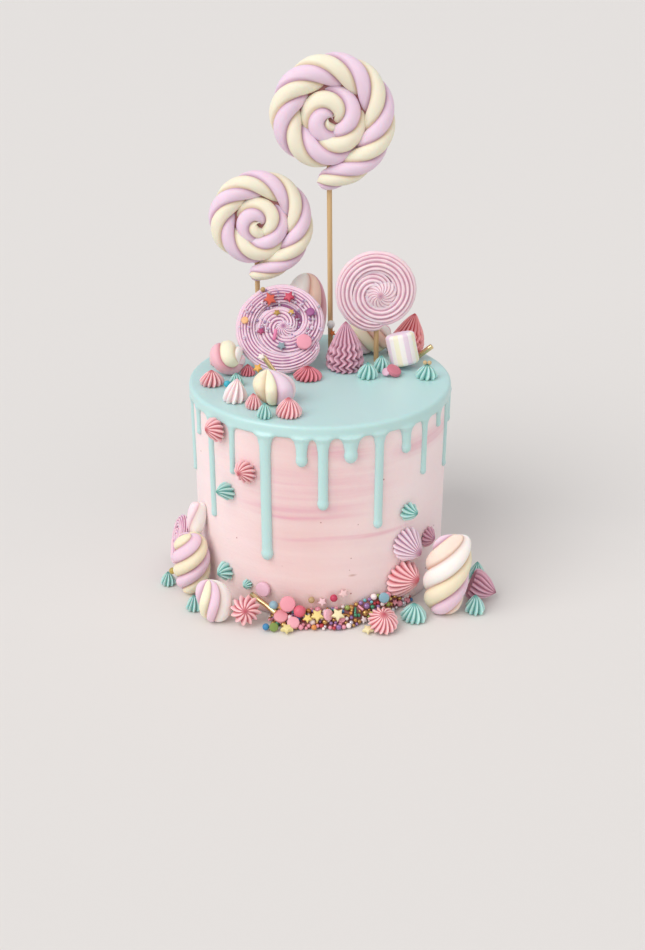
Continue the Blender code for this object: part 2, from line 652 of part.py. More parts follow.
# Thin gold rods stuck in among the toppings
def tuck_in_rods():
    make_rod("gold_rod_left", GOLD, (-34, -19.5, 147), (-22, -18, ON_TOP + 0.9), 1.5)
    make_rod("gold_rod_right", GOLD, (63, 31, ON_TOP + 1.3), (72, 30, ON_TOP + 8.8), 1.7)
    make_rod("gold_rod_foot", GOLD, (-42, -71.5, 12.6), (-26.5, -86, 8.3), 1.6)


def build():
    make_cake()
    make_icing()
    raise_heads()
    make_mauve_rosette()
    make_rosette("rosette_edge_left", MAUVE, (-87.5, -17, 18.6), 18, 7, (-0.95, -0.2, 0.25), 0.7,
                 segments=24, rows=8)
    dress_top()
    stack_marshmallows()
    dress_side()
    dress_foot()
    make_heap()
    tuck_in_rods()


build()
bpy.data.collections.remove(LOOSE)
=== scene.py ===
import math
import random

import bmesh
import bpy
from mathutils import Matrix, Vector, noise


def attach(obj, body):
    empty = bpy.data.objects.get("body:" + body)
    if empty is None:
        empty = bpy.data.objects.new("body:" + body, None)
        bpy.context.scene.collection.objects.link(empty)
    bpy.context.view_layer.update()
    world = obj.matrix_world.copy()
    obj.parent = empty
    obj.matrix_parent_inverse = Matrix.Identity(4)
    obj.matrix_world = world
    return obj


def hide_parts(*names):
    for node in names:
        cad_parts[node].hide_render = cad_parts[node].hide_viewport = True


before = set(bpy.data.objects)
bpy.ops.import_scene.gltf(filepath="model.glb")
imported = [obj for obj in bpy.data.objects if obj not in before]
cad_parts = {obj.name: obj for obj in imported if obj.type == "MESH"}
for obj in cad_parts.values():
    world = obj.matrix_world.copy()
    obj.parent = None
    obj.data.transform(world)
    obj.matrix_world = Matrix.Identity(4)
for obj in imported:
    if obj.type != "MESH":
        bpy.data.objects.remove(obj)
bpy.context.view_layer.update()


# Room: the cake stands on a plain pale surface beside a bright window.
# Daylight falls softly from the left and a weaker, warmer glow comes back from the right.
# The camera looks down on the cake from the front, a little above its toppings.
MM = 0.001
CAMERA_PLACE = (0.0015, -0.6859, 0.3884)
CAMERA_DIP = 0.448                         # how far the camera looks down, in radians
CAMERA_LENS = 44.5
FLOOR_SIZE = 16.0
FLOOR_DROP = 0.3 * MM


def linear(code):
    """A colour code such as F0D0D0 as the scene-linear colour that shaders use."""
    values = [int(code[i:i + 2], 16) / 255 for i in (0, 2, 4)]
    return (*[v / 12.92 if v <= 0.04045 else ((v + 0.055) / 1.055) ** 2.4 for v in values], 1.0)


def wire(tree, kind, sockets=None, **settings):
    """Adds a shader node. Each named socket takes a value or another node's output."""
    made = tree.nodes.new(kind)
    for setting, value in settings.items():
        setattr(made, setting, value)
    for label, value in (sockets or {}).items():
        if isinstance(value, bpy.types.NodeSocket):
            tree.links.new(value, made.inputs[label])
        else:
            made.inputs[label].default_value = value
    return made


def new_material(name):
    """A material with an empty Principled shader, with its node tree and that shader."""
    made = bpy.data.materials.new(name)
    made.use_nodes = True
    return made, made.node_tree, made.node_tree.nodes["Principled BSDF"]


def daylight(name, come_from, strength, spread, colour):
    """Even light from one side, as from a large window far off."""
    bpy.ops.object.light_add(type="SUN", location=(0, 0, 1))
    light = bpy.context.object
    light.name = name
    light.rotation_euler = Vector(come_from).to_track_quat("Z", "Y").to_euler()
    light.data.energy = strength
    light.data.angle = math.radians(spread)
    light.data.color = colour


bpy.ops.object.select_all(action="DESELECT")
bpy.ops.object.camera_add(location=CAMERA_PLACE, rotation=(math.pi / 2 - CAMERA_DIP, 0, 0))
bpy.context.scene.camera = bpy.context.object
bpy.context.object.data.lens = CAMERA_LENS
bpy.context.scene.view_settings.view_transform = "Standard"

bpy.ops.mesh.primitive_plane_add(size=FLOOR_SIZE, location=(0, 0, -FLOOR_DROP))
floor = bpy.context.object
floor.name = "floor"
pale, tree, shader = new_material("pale_floor")
shader.inputs["Base Color"].default_value = linear("E3DFDA")
shader.inputs["Roughness"].default_value = 0.9
floor.data.materials.append(pale)

room = bpy.data.worlds.new("bright_room")
room.use_nodes = True
room.node_tree.nodes["Background"].inputs["Color"].default_value = (0.93, 0.95, 1.0, 1.0)
room.node_tree.nodes["Background"].inputs["Strength"].default_value = 0.6
bpy.context.scene.world = room
daylight("window", come_from=(-0.8, -0.6, 0.95), strength=1.8, spread=50, colour=(1.0, 0.985, 0.98))
daylight("room_glow", come_from=(0.9, -0.8, 0.55), strength=0.5, spread=70, colour=(1.0, 0.9, 0.82))


# Cake: a tall round sponge under a 3 mm coat of pink buttercream, scraped smooth with a turning comb.
# The scraper left faint streaks of deeper pink round the side, a few pinholes and one small brown smudge.
CAKE_RADIUS = 79.5 * MM
CAKE_TOP = 125.4 * MM
CAKE_EDGE = 2.5 * MM
SIDE_ROWS = 36
SCRAPE_DEPTH = 0.5 * MM
WAVE_LENGTH = 0.035
SMEARS = (                                 # height, half width, middle and half length in mm, and strength
    (110, 7, 10, 26, 0.75), (107, 9, 62, 26, 0.7), (88, 22, -5, 62, 0.4), (74, 5, -14, 50, 0.5),
    (69, 2.6, -8, 44, 0.75), (54, 2.4, 14, 50, 0.75), (98, 3, -48, 30, 0.3),
)
SMEAR_LEAN = -0.01
LEAST_PAINTED_LIGHT = -12                         # where across the cake the painted side light is weakest, in mm
SMUDGE = (19.5, 29.0, 3.2, 1.1)            # place across and up the front, half width and half height, in mm


def take(*pieces):
    """Selects just these pieces, with the first of them active."""
    bpy.ops.object.select_all(action="DESELECT")
    for piece in pieces:
        piece.select_set(True)
    bpy.context.view_layer.objects.active = pieces[0]


def pick(kind, test):
    """In edit mode, selects just the points, edges or faces for which test holds."""
    bpy.ops.mesh.select_mode(type=kind)
    bpy.ops.mesh.select_all(action="DESELECT")
    shape = bmesh.from_edit_mesh(bpy.context.object.data)
    for part in {"VERT": shape.verts, "EDGE": shape.edges, "FACE": shape.faces}[kind]:
        if test(part):
            part.select_set(True)
    shape.select_flush_mode()
    bmesh.update_edit_mesh(bpy.context.object.data)


def round_edges(test, width, segments):
    """Rounds those edges of the active piece for which test holds."""
    bpy.ops.object.mode_set(mode="EDIT")
    pick("EDGE", test)
    bpy.ops.mesh.bevel(offset=width, segments=segments, affect="EDGES")
    bpy.ops.object.mode_set(mode="OBJECT")


def apply_step(piece, kind, **settings):
    """Adds a modifier to a piece and applies it."""
    take(piece)
    step = piece.modifiers.new(kind.lower(), kind)
    for setting, value in settings.items():
        setattr(step, setting, value)
    bpy.ops.object.modifier_apply(modifier=step.name)


def settle(piece):
    """Puts a piece's place, turn and scale into its mesh, and shades it smooth."""
    take(piece)
    bpy.ops.object.transform_apply(location=True, rotation=True, scale=True)
    bpy.ops.object.shade_smooth()
    return piece


def dress(piece, node, slot, *materials):
    """Gives a finished piece its materials, and puts it in its solid's place on the frame."""
    for material in materials:
        piece.data.materials.append(material)
    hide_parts(node)
    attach(piece, "root")
    return piece


def new_group(name, ins, outs):
    """An empty shader group, with the sockets that its nodes take from and give to."""
    group = bpy.data.node_groups.new(name, "ShaderNodeTree")
    kinds = {float: "NodeSocketFloat", tuple: "NodeSocketColor"}
    for label, value in ins.items():
        socket = group.interface.new_socket(label, in_out="INPUT", socket_type=kinds[type(value)])
        socket.default_value = value
    for label, kind in outs.items():
        group.interface.new_socket(label, in_out="OUTPUT", socket_type=kind)
    return group, group.nodes.new("NodeGroupInput").outputs, group.nodes.new("NodeGroupOutput").inputs


def work_out(tree, operation, *values):
    """The result of a Math node."""
    return wire(tree, "ShaderNodeMath", dict(enumerate(values)), operation=operation).outputs[0]


def graded(tree, value, low, high, start=0.0, end=1.0, curve="LINEAR"):
    """A value brought from one range to another, and held at its ends."""
    ends = {"From Min": low, "From Max": high, "To Min": start, "To Max": end}
    made = wire(tree, "ShaderNodeMapRange", {"Value": value, **ends}, interpolation_type=curve)
    return made.outputs["Result"]


def fading(tree, value, middle, reach, full=0.0):
    """1 round a middle value and for a full share of the reach, then easing to 0 at the reach."""
    away = work_out(tree, "ABSOLUTE", work_out(tree, "SUBTRACT", value, middle))
    return graded(tree, work_out(tree, "DIVIDE", away, reach), full, 1.0, 1.0, 0.0, "SMOOTHSTEP")


def tinted(tree, share, under, over, way="MIX"):
    """One colour with a share of another laid over it."""
    return wire(tree, "ShaderNodeMixRGB", {"Fac": share, "Color1": under, "Color2": over},
                blend_type=way).outputs["Color"]


def mottle(tree, spot, scale, detail):
    """Soft noise, drawn out along the axes when the scale has three numbers."""
    if isinstance(scale, tuple):
        spot = wire(tree, "ShaderNodeMapping", {"Vector": spot, "Scale": scale}).outputs["Vector"]
        scale = 1.0
    return wire(tree, "ShaderNodeTexNoise", {"Vector": spot, "Scale": scale, "Detail": detail}).outputs["Fac"]


# Grain: sugar and fat never set quite even, so every finish drifts a little in tone and is finely pitted.
grain, taken, given = new_group(
    "sugar_grain",
    {"Colour": (1.0, 1.0, 1.0, 1.0), "Patch Scale": 60.0, "Patch": 0.08, "Pit Scale": 900.0, "Pit": 0.2},
    {"Colour": "NodeSocketColor", "Normal": "NodeSocketVector"})
spot = wire(grain, "ShaderNodeTexCoord").outputs["Object"]
drift = work_out(grain, "SUBTRACT", mottle(grain, spot, taken["Patch Scale"], 3.0), 0.5)
tone = work_out(grain, "MULTIPLY_ADD", drift, taken["Patch"], 1.0)
pits = mottle(grain, spot, taken["Pit Scale"], 2.0)
bump = wire(grain, "ShaderNodeBump", {"Strength": taken["Pit"], "Distance": 0.4 * MM, "Height": pits})
grain.links.new(tinted(grain, 1.0, taken["Colour"], tone, "MULTIPLY"), given["Colour"])
grain.links.new(bump.outputs["Normal"], given["Normal"])

# Smear: one band of deeper pink left by the scraper, torn into long thin streaks
smear, taken, given = new_group(
    "scraper_smear", {"Height": 0.07, "Half Width": 0.006, "Middle": 0.0, "Half Length": 0.05, "Lean": 0.0},
    {"Mask": "NodeSocketFloat"})
spot = wire(smear, "ShaderNodeTexCoord").outputs["Object"]
apart = wire(smear, "ShaderNodeSeparateXYZ", {"Vector": spot}).outputs
wander = work_out(smear, "MULTIPLY_ADD", mottle(smear, spot, 14.0, 1.0), 8 * MM, -4 * MM)
slant = work_out(smear, "MULTIPLY_ADD", apart["X"], taken["Lean"], wander)
level = work_out(smear, "SUBTRACT", apart["Z"], slant)
band = work_out(smear, "MULTIPLY", fading(smear, level, taken["Height"], taken["Half Width"]),
                fading(smear, apart["X"], taken["Middle"], taken["Half Length"], 0.3))
torn = graded(smear, mottle(smear, spot, (14.0, 14.0, 300.0), 4.0), 0.3, 0.66, 0.1)
smear.links.new(work_out(smear, "MULTIPLY", band, torn), given["Mask"])


def add_grain(tree, shader, colour, patches, pits, roughness, lit_through=(0.0, 0.0)):
    """Finishes a material: patches and pits are each a scale and a strength.

    lit_through is the share of the light that passes under the surface, and how deep it goes in mm.
    """
    finish = wire(tree, "ShaderNodeGroup", {"Colour": colour, "Patch Scale": patches[0], "Patch": patches[1],
                                            "Pit Scale": pits[0], "Pit": pits[1]}, node_tree=grain)
    tree.links.new(finish.outputs["Colour"], shader.inputs["Base Color"])
    tree.links.new(finish.outputs["Normal"], shader.inputs["Normal"])
    shader.inputs["Roughness"].default_value = roughness
    if lit_through[0]:
        shader.inputs["Subsurface Weight"].default_value = lit_through[0]
        shader.inputs["Subsurface Scale"].default_value = lit_through[1] * MM
    return finish


buttercream, tree, shader = new_material("pink_buttercream")
spot = wire(tree, "ShaderNodeTexCoord").outputs["Object"]
apart = wire(tree, "ShaderNodeSeparateXYZ", {"Vector": spot}).outputs
wash = graded(tree, mottle(tree, spot, (9.0, 9.0, 95.0), 5.0), 0.3, 0.72)
colour = tinted(tree, wash, linear("F0D5D1"), linear("EAC6C4"))
# painted light: the buttercream turns paler towards both sides, where the window and room light fall on it
aside = work_out(tree, "ABSOLUTE", work_out(tree, "SUBTRACT", apart["X"], LEAST_PAINTED_LIGHT * MM))
colour = tinted(tree, graded(tree, aside, 8 * MM, 70 * MM, 0.0, 0.9), colour, linear("FAE9E9"))
for height, half_width, middle, half_length, strength in SMEARS:
    band = wire(tree, "ShaderNodeGroup",
                {"Height": height * MM, "Half Width": half_width * MM, "Middle": middle * MM,
                 "Half Length": half_length * MM, "Lean": SMEAR_LEAN}, node_tree=smear)
    depth = work_out(tree, "MULTIPLY", band.outputs["Mask"], strength)
    colour = tinted(tree, depth, colour, linear("E2A0B2"))
# the pinholes are only dark dots of painted shade, with no dent in the surface
holes = wire(tree, "ShaderNodeTexVoronoi", {"Vector": spot, "Scale": 75.0}).outputs["Distance"]
colour = tinted(tree, graded(tree, holes, 0.03, 0.05, 1.0, 0.0), colour, linear("B07A78"))
across, up, wide, high = SMUDGE
smudge = wire(tree, "ShaderNodeMapping", {"Vector": spot, "Location": (-across / wide, 0.0, -up / high),
                                          "Scale": (1 / (wide * MM), 0.0, 1 / (high * MM))})
away = wire(tree, "ShaderNodeVectorMath", {0: smudge.outputs["Vector"]}, operation="LENGTH").outputs["Value"]
front = work_out(tree, "LESS_THAN", apart["Y"], 0.0)
stain = work_out(tree, "MULTIPLY", graded(tree, away, 0.2, 1.0, 0.6, 0.0), front)
colour = tinted(tree, stain, colour, linear("B88A78"))
finish = add_grain(tree, shader, colour, (30.0, 0.07), (620.0, 0.4), 0.62, (0.12, 3))
lines = mottle(tree, spot, (20.0, 20.0, 900.0), 3.0)
combed = wire(tree, "ShaderNodeBump", {"Strength": 0.25, "Distance": 0.3 * MM, "Height": lines,
                                       "Normal": finish.outputs["Normal"]})
tree.links.new(combed.outputs["Normal"], shader.inputs["Normal"])

bpy.ops.mesh.primitive_cylinder_add(vertices=180, radius=CAKE_RADIUS, depth=CAKE_TOP,
                                    location=(0, 0, CAKE_TOP / 2))
cake = bpy.context.object
cake.name = "buttercream_cake"
bpy.ops.object.mode_set(mode="EDIT")
pick("EDGE", lambda edge: abs(edge.verts[0].co.z - edge.verts[1].co.z) > CAKE_TOP / 2)
bpy.ops.mesh.subdivide(number_cuts=SIDE_ROWS)
bpy.ops.object.mode_set(mode="OBJECT")
round_edges(lambda edge: all(v.co.z > CAKE_TOP / 2 - 0.1 * MM for v in edge.verts), CAKE_EDGE, 4)
settle(cake)
waves = bpy.data.textures.new("scraped_waves", "CLOUDS")
waves.noise_scale = WAVE_LENGTH
apply_step(cake, "DISPLACE", texture=waves, strength=SCRAPE_DEPTH, mid_level=0.5, texture_coords="LOCAL")
dress(cake, "cake", "buttercream", buttercream)


# Icing: mint glaze poured warm on the chilled cake, so it pooled flat on top and ran over the rim.
# Each drip is a thin run that narrows from a wide neck at the rim and ends in a fuller bead.
ICING_RIM = 81.3 * MM
ICING_TOP = 127.2 * MM
ICING_SKIRT = 119.6 * MM
ICING_EDGE = 1.6 * MM
DRIP_SINK = 0.3 * MM
DRIP_FLATNESS = 0.8                        # a run stands out less than it is wide
DRIP_BEAD = 1.14                           # the bead's width as a share of the run's
DRIP_NECKS = (                             # start above the skirt in mm, width as a share, depth in mm
    (1, 2.2, 5), (0, 1.55, 9), (0, 1.2, 15),
)
DRIPS = (                                  # azimuth in degrees, lowest height and width in mm
    (-168, 71, 4), (-156, 102, 4), (-144, 53.5, 4.5), (-130, 89, 4), (-113.2, 38.5, 7),
    (-97.5, 102.5, 6.4), (-88.7, 75, 6.2), (-77.2, 104.5, 7.4), (-64.6, 59, 5.6), (-51, 103.5, 6),
    (-39.4, 84, 4.4), (-27.5, 109, 4), (-16, 76, 4), (-2, 98, 5), (12, 66, 5.4), (27, 106, 5),
    (43, 88, 5.8), (60, 48, 6), (76, 101, 5.4), (92, 80, 5.6), (108, 104, 6.4), (125, 57, 5.4),
    (142, 94, 5), (158, 72, 5.6), (175, 90, 4.6),
)


def around(azimuth, reach=1.0):
    """Where a point lies across and back, from its azimuth in degrees and its reach from the middle."""
    turn = math.radians(azimuth)
    return reach * math.cos(turn), reach * math.sin(turn)


def joined(pieces):
    """Joins pieces into the first of them."""
    take(*pieces)
    bpy.ops.object.join()
    return pieces[0]


icing_finish, tree, shader = new_material("mint_glaze")
add_grain(tree, shader, linear("BDDFDC"), (18.0, 0.07), (160.0, 0.04), 0.3, (0.1, 2))

bpy.ops.mesh.primitive_cylinder_add(vertices=180, radius=ICING_RIM, depth=ICING_TOP - ICING_SKIRT,
                                    location=(0, 0, (ICING_TOP + ICING_SKIRT) / 2))
icing = bpy.context.object
icing.name = "mint_icing"
round_edges(lambda edge: all(v.co.z > 0 for v in edge.verts), ICING_EDGE, 4)
runs = [icing]
for azimuth, low, width in DRIPS:
    turn = math.radians(azimuth)
    half = width / 2 * MM
    bead = DRIP_BEAD * half
    low = low * MM + bead
    spine = around(azimuth, CAKE_RADIUS + DRIP_SINK)
    bpy.ops.mesh.primitive_cylinder_add(vertices=20, radius=half, depth=ICING_SKIRT - low,
                                        location=(*spine, (ICING_SKIRT + low) / 2), rotation=(0, 0, turn),
                                        scale=(DRIP_FLATNESS, 1, 1))
    runs.append(bpy.context.object)
    bpy.ops.mesh.primitive_uv_sphere_add(segments=20, ring_count=12, radius=bead, location=(*spine, low),
                                         rotation=(0, 0, turn), scale=(0.86, 1, 1.25))
    runs.append(bpy.context.object)
    for above, wide, deep in DRIP_NECKS:
        top = ICING_SKIRT + above * MM
        deep = min(deep * MM, top - low)
        bpy.ops.mesh.primitive_cone_add(vertices=20, radius1=half, radius2=wide * half, depth=deep,
                                        location=(*spine, top - deep / 2), rotation=(0, 0, turn),
                                        scale=(0.5, 1, 1))
        runs.append(bpy.context.object)
joined(runs)
settle(icing)
apply_step(icing, "REMESH", mode="VOXEL", voxel_size=0.8 * MM)
apply_step(icing, "SMOOTH", factor=0.5, iterations=9)
apply_step(icing, "DECIMATE", ratio=0.4)
settle(icing)
dress(icing, "icing_drip", "icing", icing_finish)


# Sticks: turned bamboo, 3.2 mm thick, with the grain running along it and its ends just broken.
# One is pushed up into each lollipop and the pink swirl, and down through the icing deep into the cake.
STICK_RADIUS = 1.6 * MM
STICKS = {                                 # the stick's top and foot, with their places in mm
    "lollipop_tall_stick": ((5.6, 40, 249), (7.2, 40, 82)),
    "lollipop_short_stick": ((-40.2, 48, 189), (-41, 48.5, 82)),
    "rosette_pink_stick": ((35.6, 26.8, 162), (36.3, 26.5, 82)),
}


def at_end(edge):
    """Whether an edge goes round an end of an upright cylinder."""
    return edge.verts[0].co.z * edge.verts[1].co.z > 0


def rod(name, top, foot, radius):
    """A round rod between two points in mm, its end edges softened."""
    top, foot = Vector(top) * MM, Vector(foot) * MM
    along = top - foot
    bpy.ops.mesh.primitive_cylinder_add(vertices=28, radius=radius, depth=along.length,
                                        location=(top + foot) / 2,
                                        rotation=along.to_track_quat("Z", "Y").to_euler())
    made = bpy.context.object
    made.name = name
    round_edges(at_end, 0.22 * radius, 2)
    settle(made)
    bpy.ops.object.shade_smooth_by_angle(angle=math.radians(50))
    return made


bamboo, tree, shader = new_material("bamboo")
fibres = mottle(tree, wire(tree, "ShaderNodeTexCoord").outputs["Object"], (1400.0, 1400.0, 18.0), 3.0)
furrow = wire(tree, "ShaderNodeBump", {"Strength": 0.3, "Distance": 0.1 * MM, "Height": fibres})
tree.links.new(tinted(tree, fibres, linear("E3C595"), linear("B88F5A")), shader.inputs["Base Color"])
tree.links.new(furrow.outputs["Normal"], shader.inputs["Normal"])
shader.inputs["Roughness"].default_value = 0.5
for node, (top, foot) in STICKS.items():
    dress(rod("bamboo_" + node, top, foot, STICK_RADIUS), node, "stick", bamboo)


# Lollipops: four soft marshmallow strands, two cream and two lilac, twisted into a rope.
# The rope starts with a loose tail at the stick and winds inwards until its end fills the middle.
ROPE_STRANDS = (1, 1, 1, 1)                # widths side by side
ROPE_SHARE = 0.25                          # rope radius as a share of the lollipop's
ROPE_PITCH = 60.0 * MM                     # length of rope in which a strand goes once round
ROPE_VALLEY = 0.77                         # how far out the rope reaches between two strands
ROPE_POINTS = 48                           # points round the rope
ROPE_STEP = 3.0                            # degrees between points of the path
ROPE_EVEN = (30, 20)                       # how often the path's reach and its thickness are evened out
ROPE_END = 0.62                            # rounded length of each end as a share of the rope's radius
MIDDLE_SHARE = 0.62                        # width of the pressed middle as a share of the lollipop's
MIDDLE_FLATNESS = 0.2
# Azimuth seen from the front, radius as a share of the lollipop's, thickness as a share of the rope's
ROPE_PATH = (
    (-104, 1.0, 0.56), (-96, 0.95, 0.64), (-84, 0.86, 0.82), (-66, 0.79, 0.98), (-30, 0.75, 1.04),
    (90, 0.74, 1.04), (180, 0.74, 1.06), (225, 0.58, 1.1), (270, 0.44, 1.12), (315, 0.31, 1.12),
    (360, 0.27, 1.1), (430, 0.25, 1.08), (500, 0.24, 1.16), (560, 0.2, 1.16), (610, 0.13, 1.1),
    (670, 0.07, 1.05),
)
LOLLIPOPS = {                              # centre and radius in mm, lean back and first twist in degrees
    "lollipop_tall": ((7.2, 40, 276), 38.0, 4, 90),
    "lollipop_short": ((-37.5, 48, 211), 33.0, 6, 130),
}


def ease(stops, at):
    """Reads a list of stops at a place: each stop is a place followed by the values there."""
    for low, high in zip(stops, stops[1:]):
        if at <= high[0]:
            share = max(0.0, (at - low[0]) / (high[0] - low[0]))
            return [a + (b - a) * share for a, b in zip(low[1:], high[1:])]
    return list(stops[-1][1:])


def soften(values, times):
    """Evens out a list of numbers by averaging neighbours."""
    for _ in range(times):
        evened = [(a + 2 * b + c) / 4 for a, b, c in zip(values, values[1:], values[2:])]
        values = [values[0], *evened, values[-1]]
    return values


def lobed(widths, valley, count, bulge):
    """An outline of strands side by side: each point with its strand and how deep in a groove it is.

    widths are the strands' shares of the way round, valley is how far out a groove lies, and count is
    the number of points. bulge gives the height of a strand from 0 in the groove to 1 on its crest.
    """
    outline = []
    for strand, width in enumerate(widths):
        points = round(count * width / sum(widths))
        for i in range(points):
            turn = 2 * math.pi * (sum(widths[:strand]) + width * i / points) / sum(widths)
            swell = bulge(math.sin(math.pi * i / points))
            reach = valley + (1 - valley) * swell
            outline.append((reach * math.cos(turn), reach * math.sin(turn), strand, 1 - swell))
    return outline


def sweep(name, outline, radius, path):
    """Carries an outline along a path of (place, size, turn) as a curve, then makes it a closed mesh.

    The strand of the outline sets each face's material, and its groove is kept as an attribute.
    """
    edge = bpy.data.curves.new(name + "_outline", "CURVE")
    edge.splines.new("POLY").points.add(len(outline) - 1)
    edge.splines[0].use_cyclic_u = True
    for point, (x, y, _, _) in zip(edge.splines[0].points, outline):
        point.co = (x * radius, y * radius, 0, 1)
    profile = bpy.data.objects.new(edge.name, edge)
    bpy.context.scene.collection.objects.link(profile)
    line = bpy.data.curves.new(name, "CURVE")
    line.dimensions = "3D"
    line.twist_mode = "Z_UP"
    line.bevel_mode = "OBJECT"
    line.bevel_object = profile
    line.use_fill_caps = True
    line.splines.new("POLY").points.add(len(path) - 1)
    for point, (place, size, turn) in zip(line.splines[0].points, path):
        point.co = (*place, 1)
        point.radius = size
        point.tilt = turn
    rope = bpy.data.objects.new(name, line)
    bpy.context.scene.collection.objects.link(rope)
    take(rope)
    bpy.ops.object.convert(target="MESH")
    rope = bpy.context.object
    bpy.data.objects.remove(profile)
    count = len(outline)
    groove = rope.data.attributes.new("groove", "FLOAT", "POINT")
    for i, mark in enumerate(groove.data):
        mark.value = outline[i % count][3]
    for face in rope.data.polygons:
        if len(face.vertices) == 4:
            round_place = {v % count for v in face.vertices}
            first = max(round_place) if 0 in round_place and max(round_place) > 1 else min(round_place)
            face.material_index = outline[first][2]
    bpy.ops.object.mode_set(mode="EDIT")
    bpy.ops.mesh.select_all(action="SELECT")
    bpy.ops.mesh.remove_doubles(threshold=0.01 * MM)
    bpy.ops.mesh.normals_make_consistent(inside=False)
    bpy.ops.object.mode_set(mode="OBJECT")
    return rope


def new_meringue(name, crest, groove, roughness=0.6, begins=0.25):
    """Meringue or marshmallow finish, pale on the crests and with painted shade deepening down in the
    grooves.

    begins is how deep in a groove the painted shade begins.
    """
    made, tree, shader = new_material(name)
    depth = wire(tree, "ShaderNodeAttribute", attribute_name="groove").outputs["Fac"]
    colour = tinted(tree, graded(tree, depth, begins, 0.97), linear(crest), linear(groove))
    add_grain(tree, shader, colour, (90.0, 0.08), (1100.0, 0.12), roughness, (0.2, 2.5))
    return made


def steps_along(line, step, even_reach, even_size):
    """Azimuths at even steps along a spiral line, each with its evened-out reach and size."""
    start, end = line[0][0], line[-1][0]
    count = round((end - start) / step)
    azimuths = [start + (end - start) * i / count for i in range(count + 1)]
    return list(zip(azimuths, soften([ease(line, a)[0] for a in azimuths], even_reach),
                    soften([ease(line, a)[1] for a in azimuths], even_size)))


def soft_strand(share):
    """Soft strands pressed together: broad and round, with a sharp crease between them."""
    return share ** 0.6


# each strand's second colour is painted shade in the creases between the strands
cream = new_meringue("cream_marshmallow", "F0E9D2", "D8BE9C", 0.75)
lilac = new_meringue("lilac_marshmallow", "EAD1E1", "B98CA4", 0.75)
# painted shade: one dark reddish brown for where the pressed turns meet
crease = new_meringue("painted_crease_shade", "A66E6C", "A66E6C", 0.8)
for node, (centre, radius, lean, twist) in LOLLIPOPS.items():
    radius *= MM
    path, run, before = [], 0.0, None
    for azimuth, reach, size in steps_along(ROPE_PATH, ROPE_STEP, *ROPE_EVEN):
        here = Vector((*around(azimuth), 0)) * reach * radius
        run += (here - before).length if before else 0.0
        before = here
        path.append([here, size, run])
    full = ROPE_SHARE * radius
    for point in path:                     # both ends are rounded, and the twist runs along the rope
        near = min(point[2], run - point[2]) / (ROPE_END * full)
        point[1] *= math.sqrt(max(0.0004, 1 - max(0.0, 1 - near) ** 2))
        point[2] = math.radians(twist) + 2 * math.pi * point[2] / ROPE_PITCH
    rope = sweep("rope_" + node, lobed(ROPE_STRANDS, ROPE_VALLEY, ROPE_POINTS, soft_strand), full, path)
    for finish in (cream, lilac, cream, lilac, crease):
        rope.data.materials.append(finish)
    # the middle disc takes only that colour, as painted shade between the turns
    bpy.ops.mesh.primitive_uv_sphere_add(segments=32, ring_count=12, radius=MIDDLE_SHARE * radius,
                                         scale=(1, 1, MIDDLE_FLATNESS))
    middle = bpy.context.object            # the turns are pressed together in the middle
    middle.data.materials.append(crease)
    rope = joined([rope, settle(middle)])
    stand = Matrix.Translation(Vector(centre) * MM) @ Matrix.Rotation(math.radians(90 - lean), 4, "X")
    rope.data.transform(stand)
    settle(rope)
    dress(rope, node, "marshmallow")


# Meringue kisses: star-piped, dried in a low oven, so they are matt with deep sharp grooves.
# Each was pulled up to a point that leans a little, and the ridges turn as they run up to it.
ON_TOP = 127.5                             # heights on which things lie, in mm
ON_FLOOR = 0.3
WALL = 79.8                                # how far out the cake's side lies, in mm
UP = (0, 0, 1)
KISS_ROWS = 7
RUFFLED_ROWS = 20
RUFFLE_LENGTH = 5.4                        # height in mm in which a ridge swings to and fro once
RUFFLE_TOP = 0.62                          # share of the height at which the ridges run straight
KISS_GROOVES = {9: 0.64, 12: 0.7, 16: 0.77}    # how far out the grooves lie, by the number of ridges


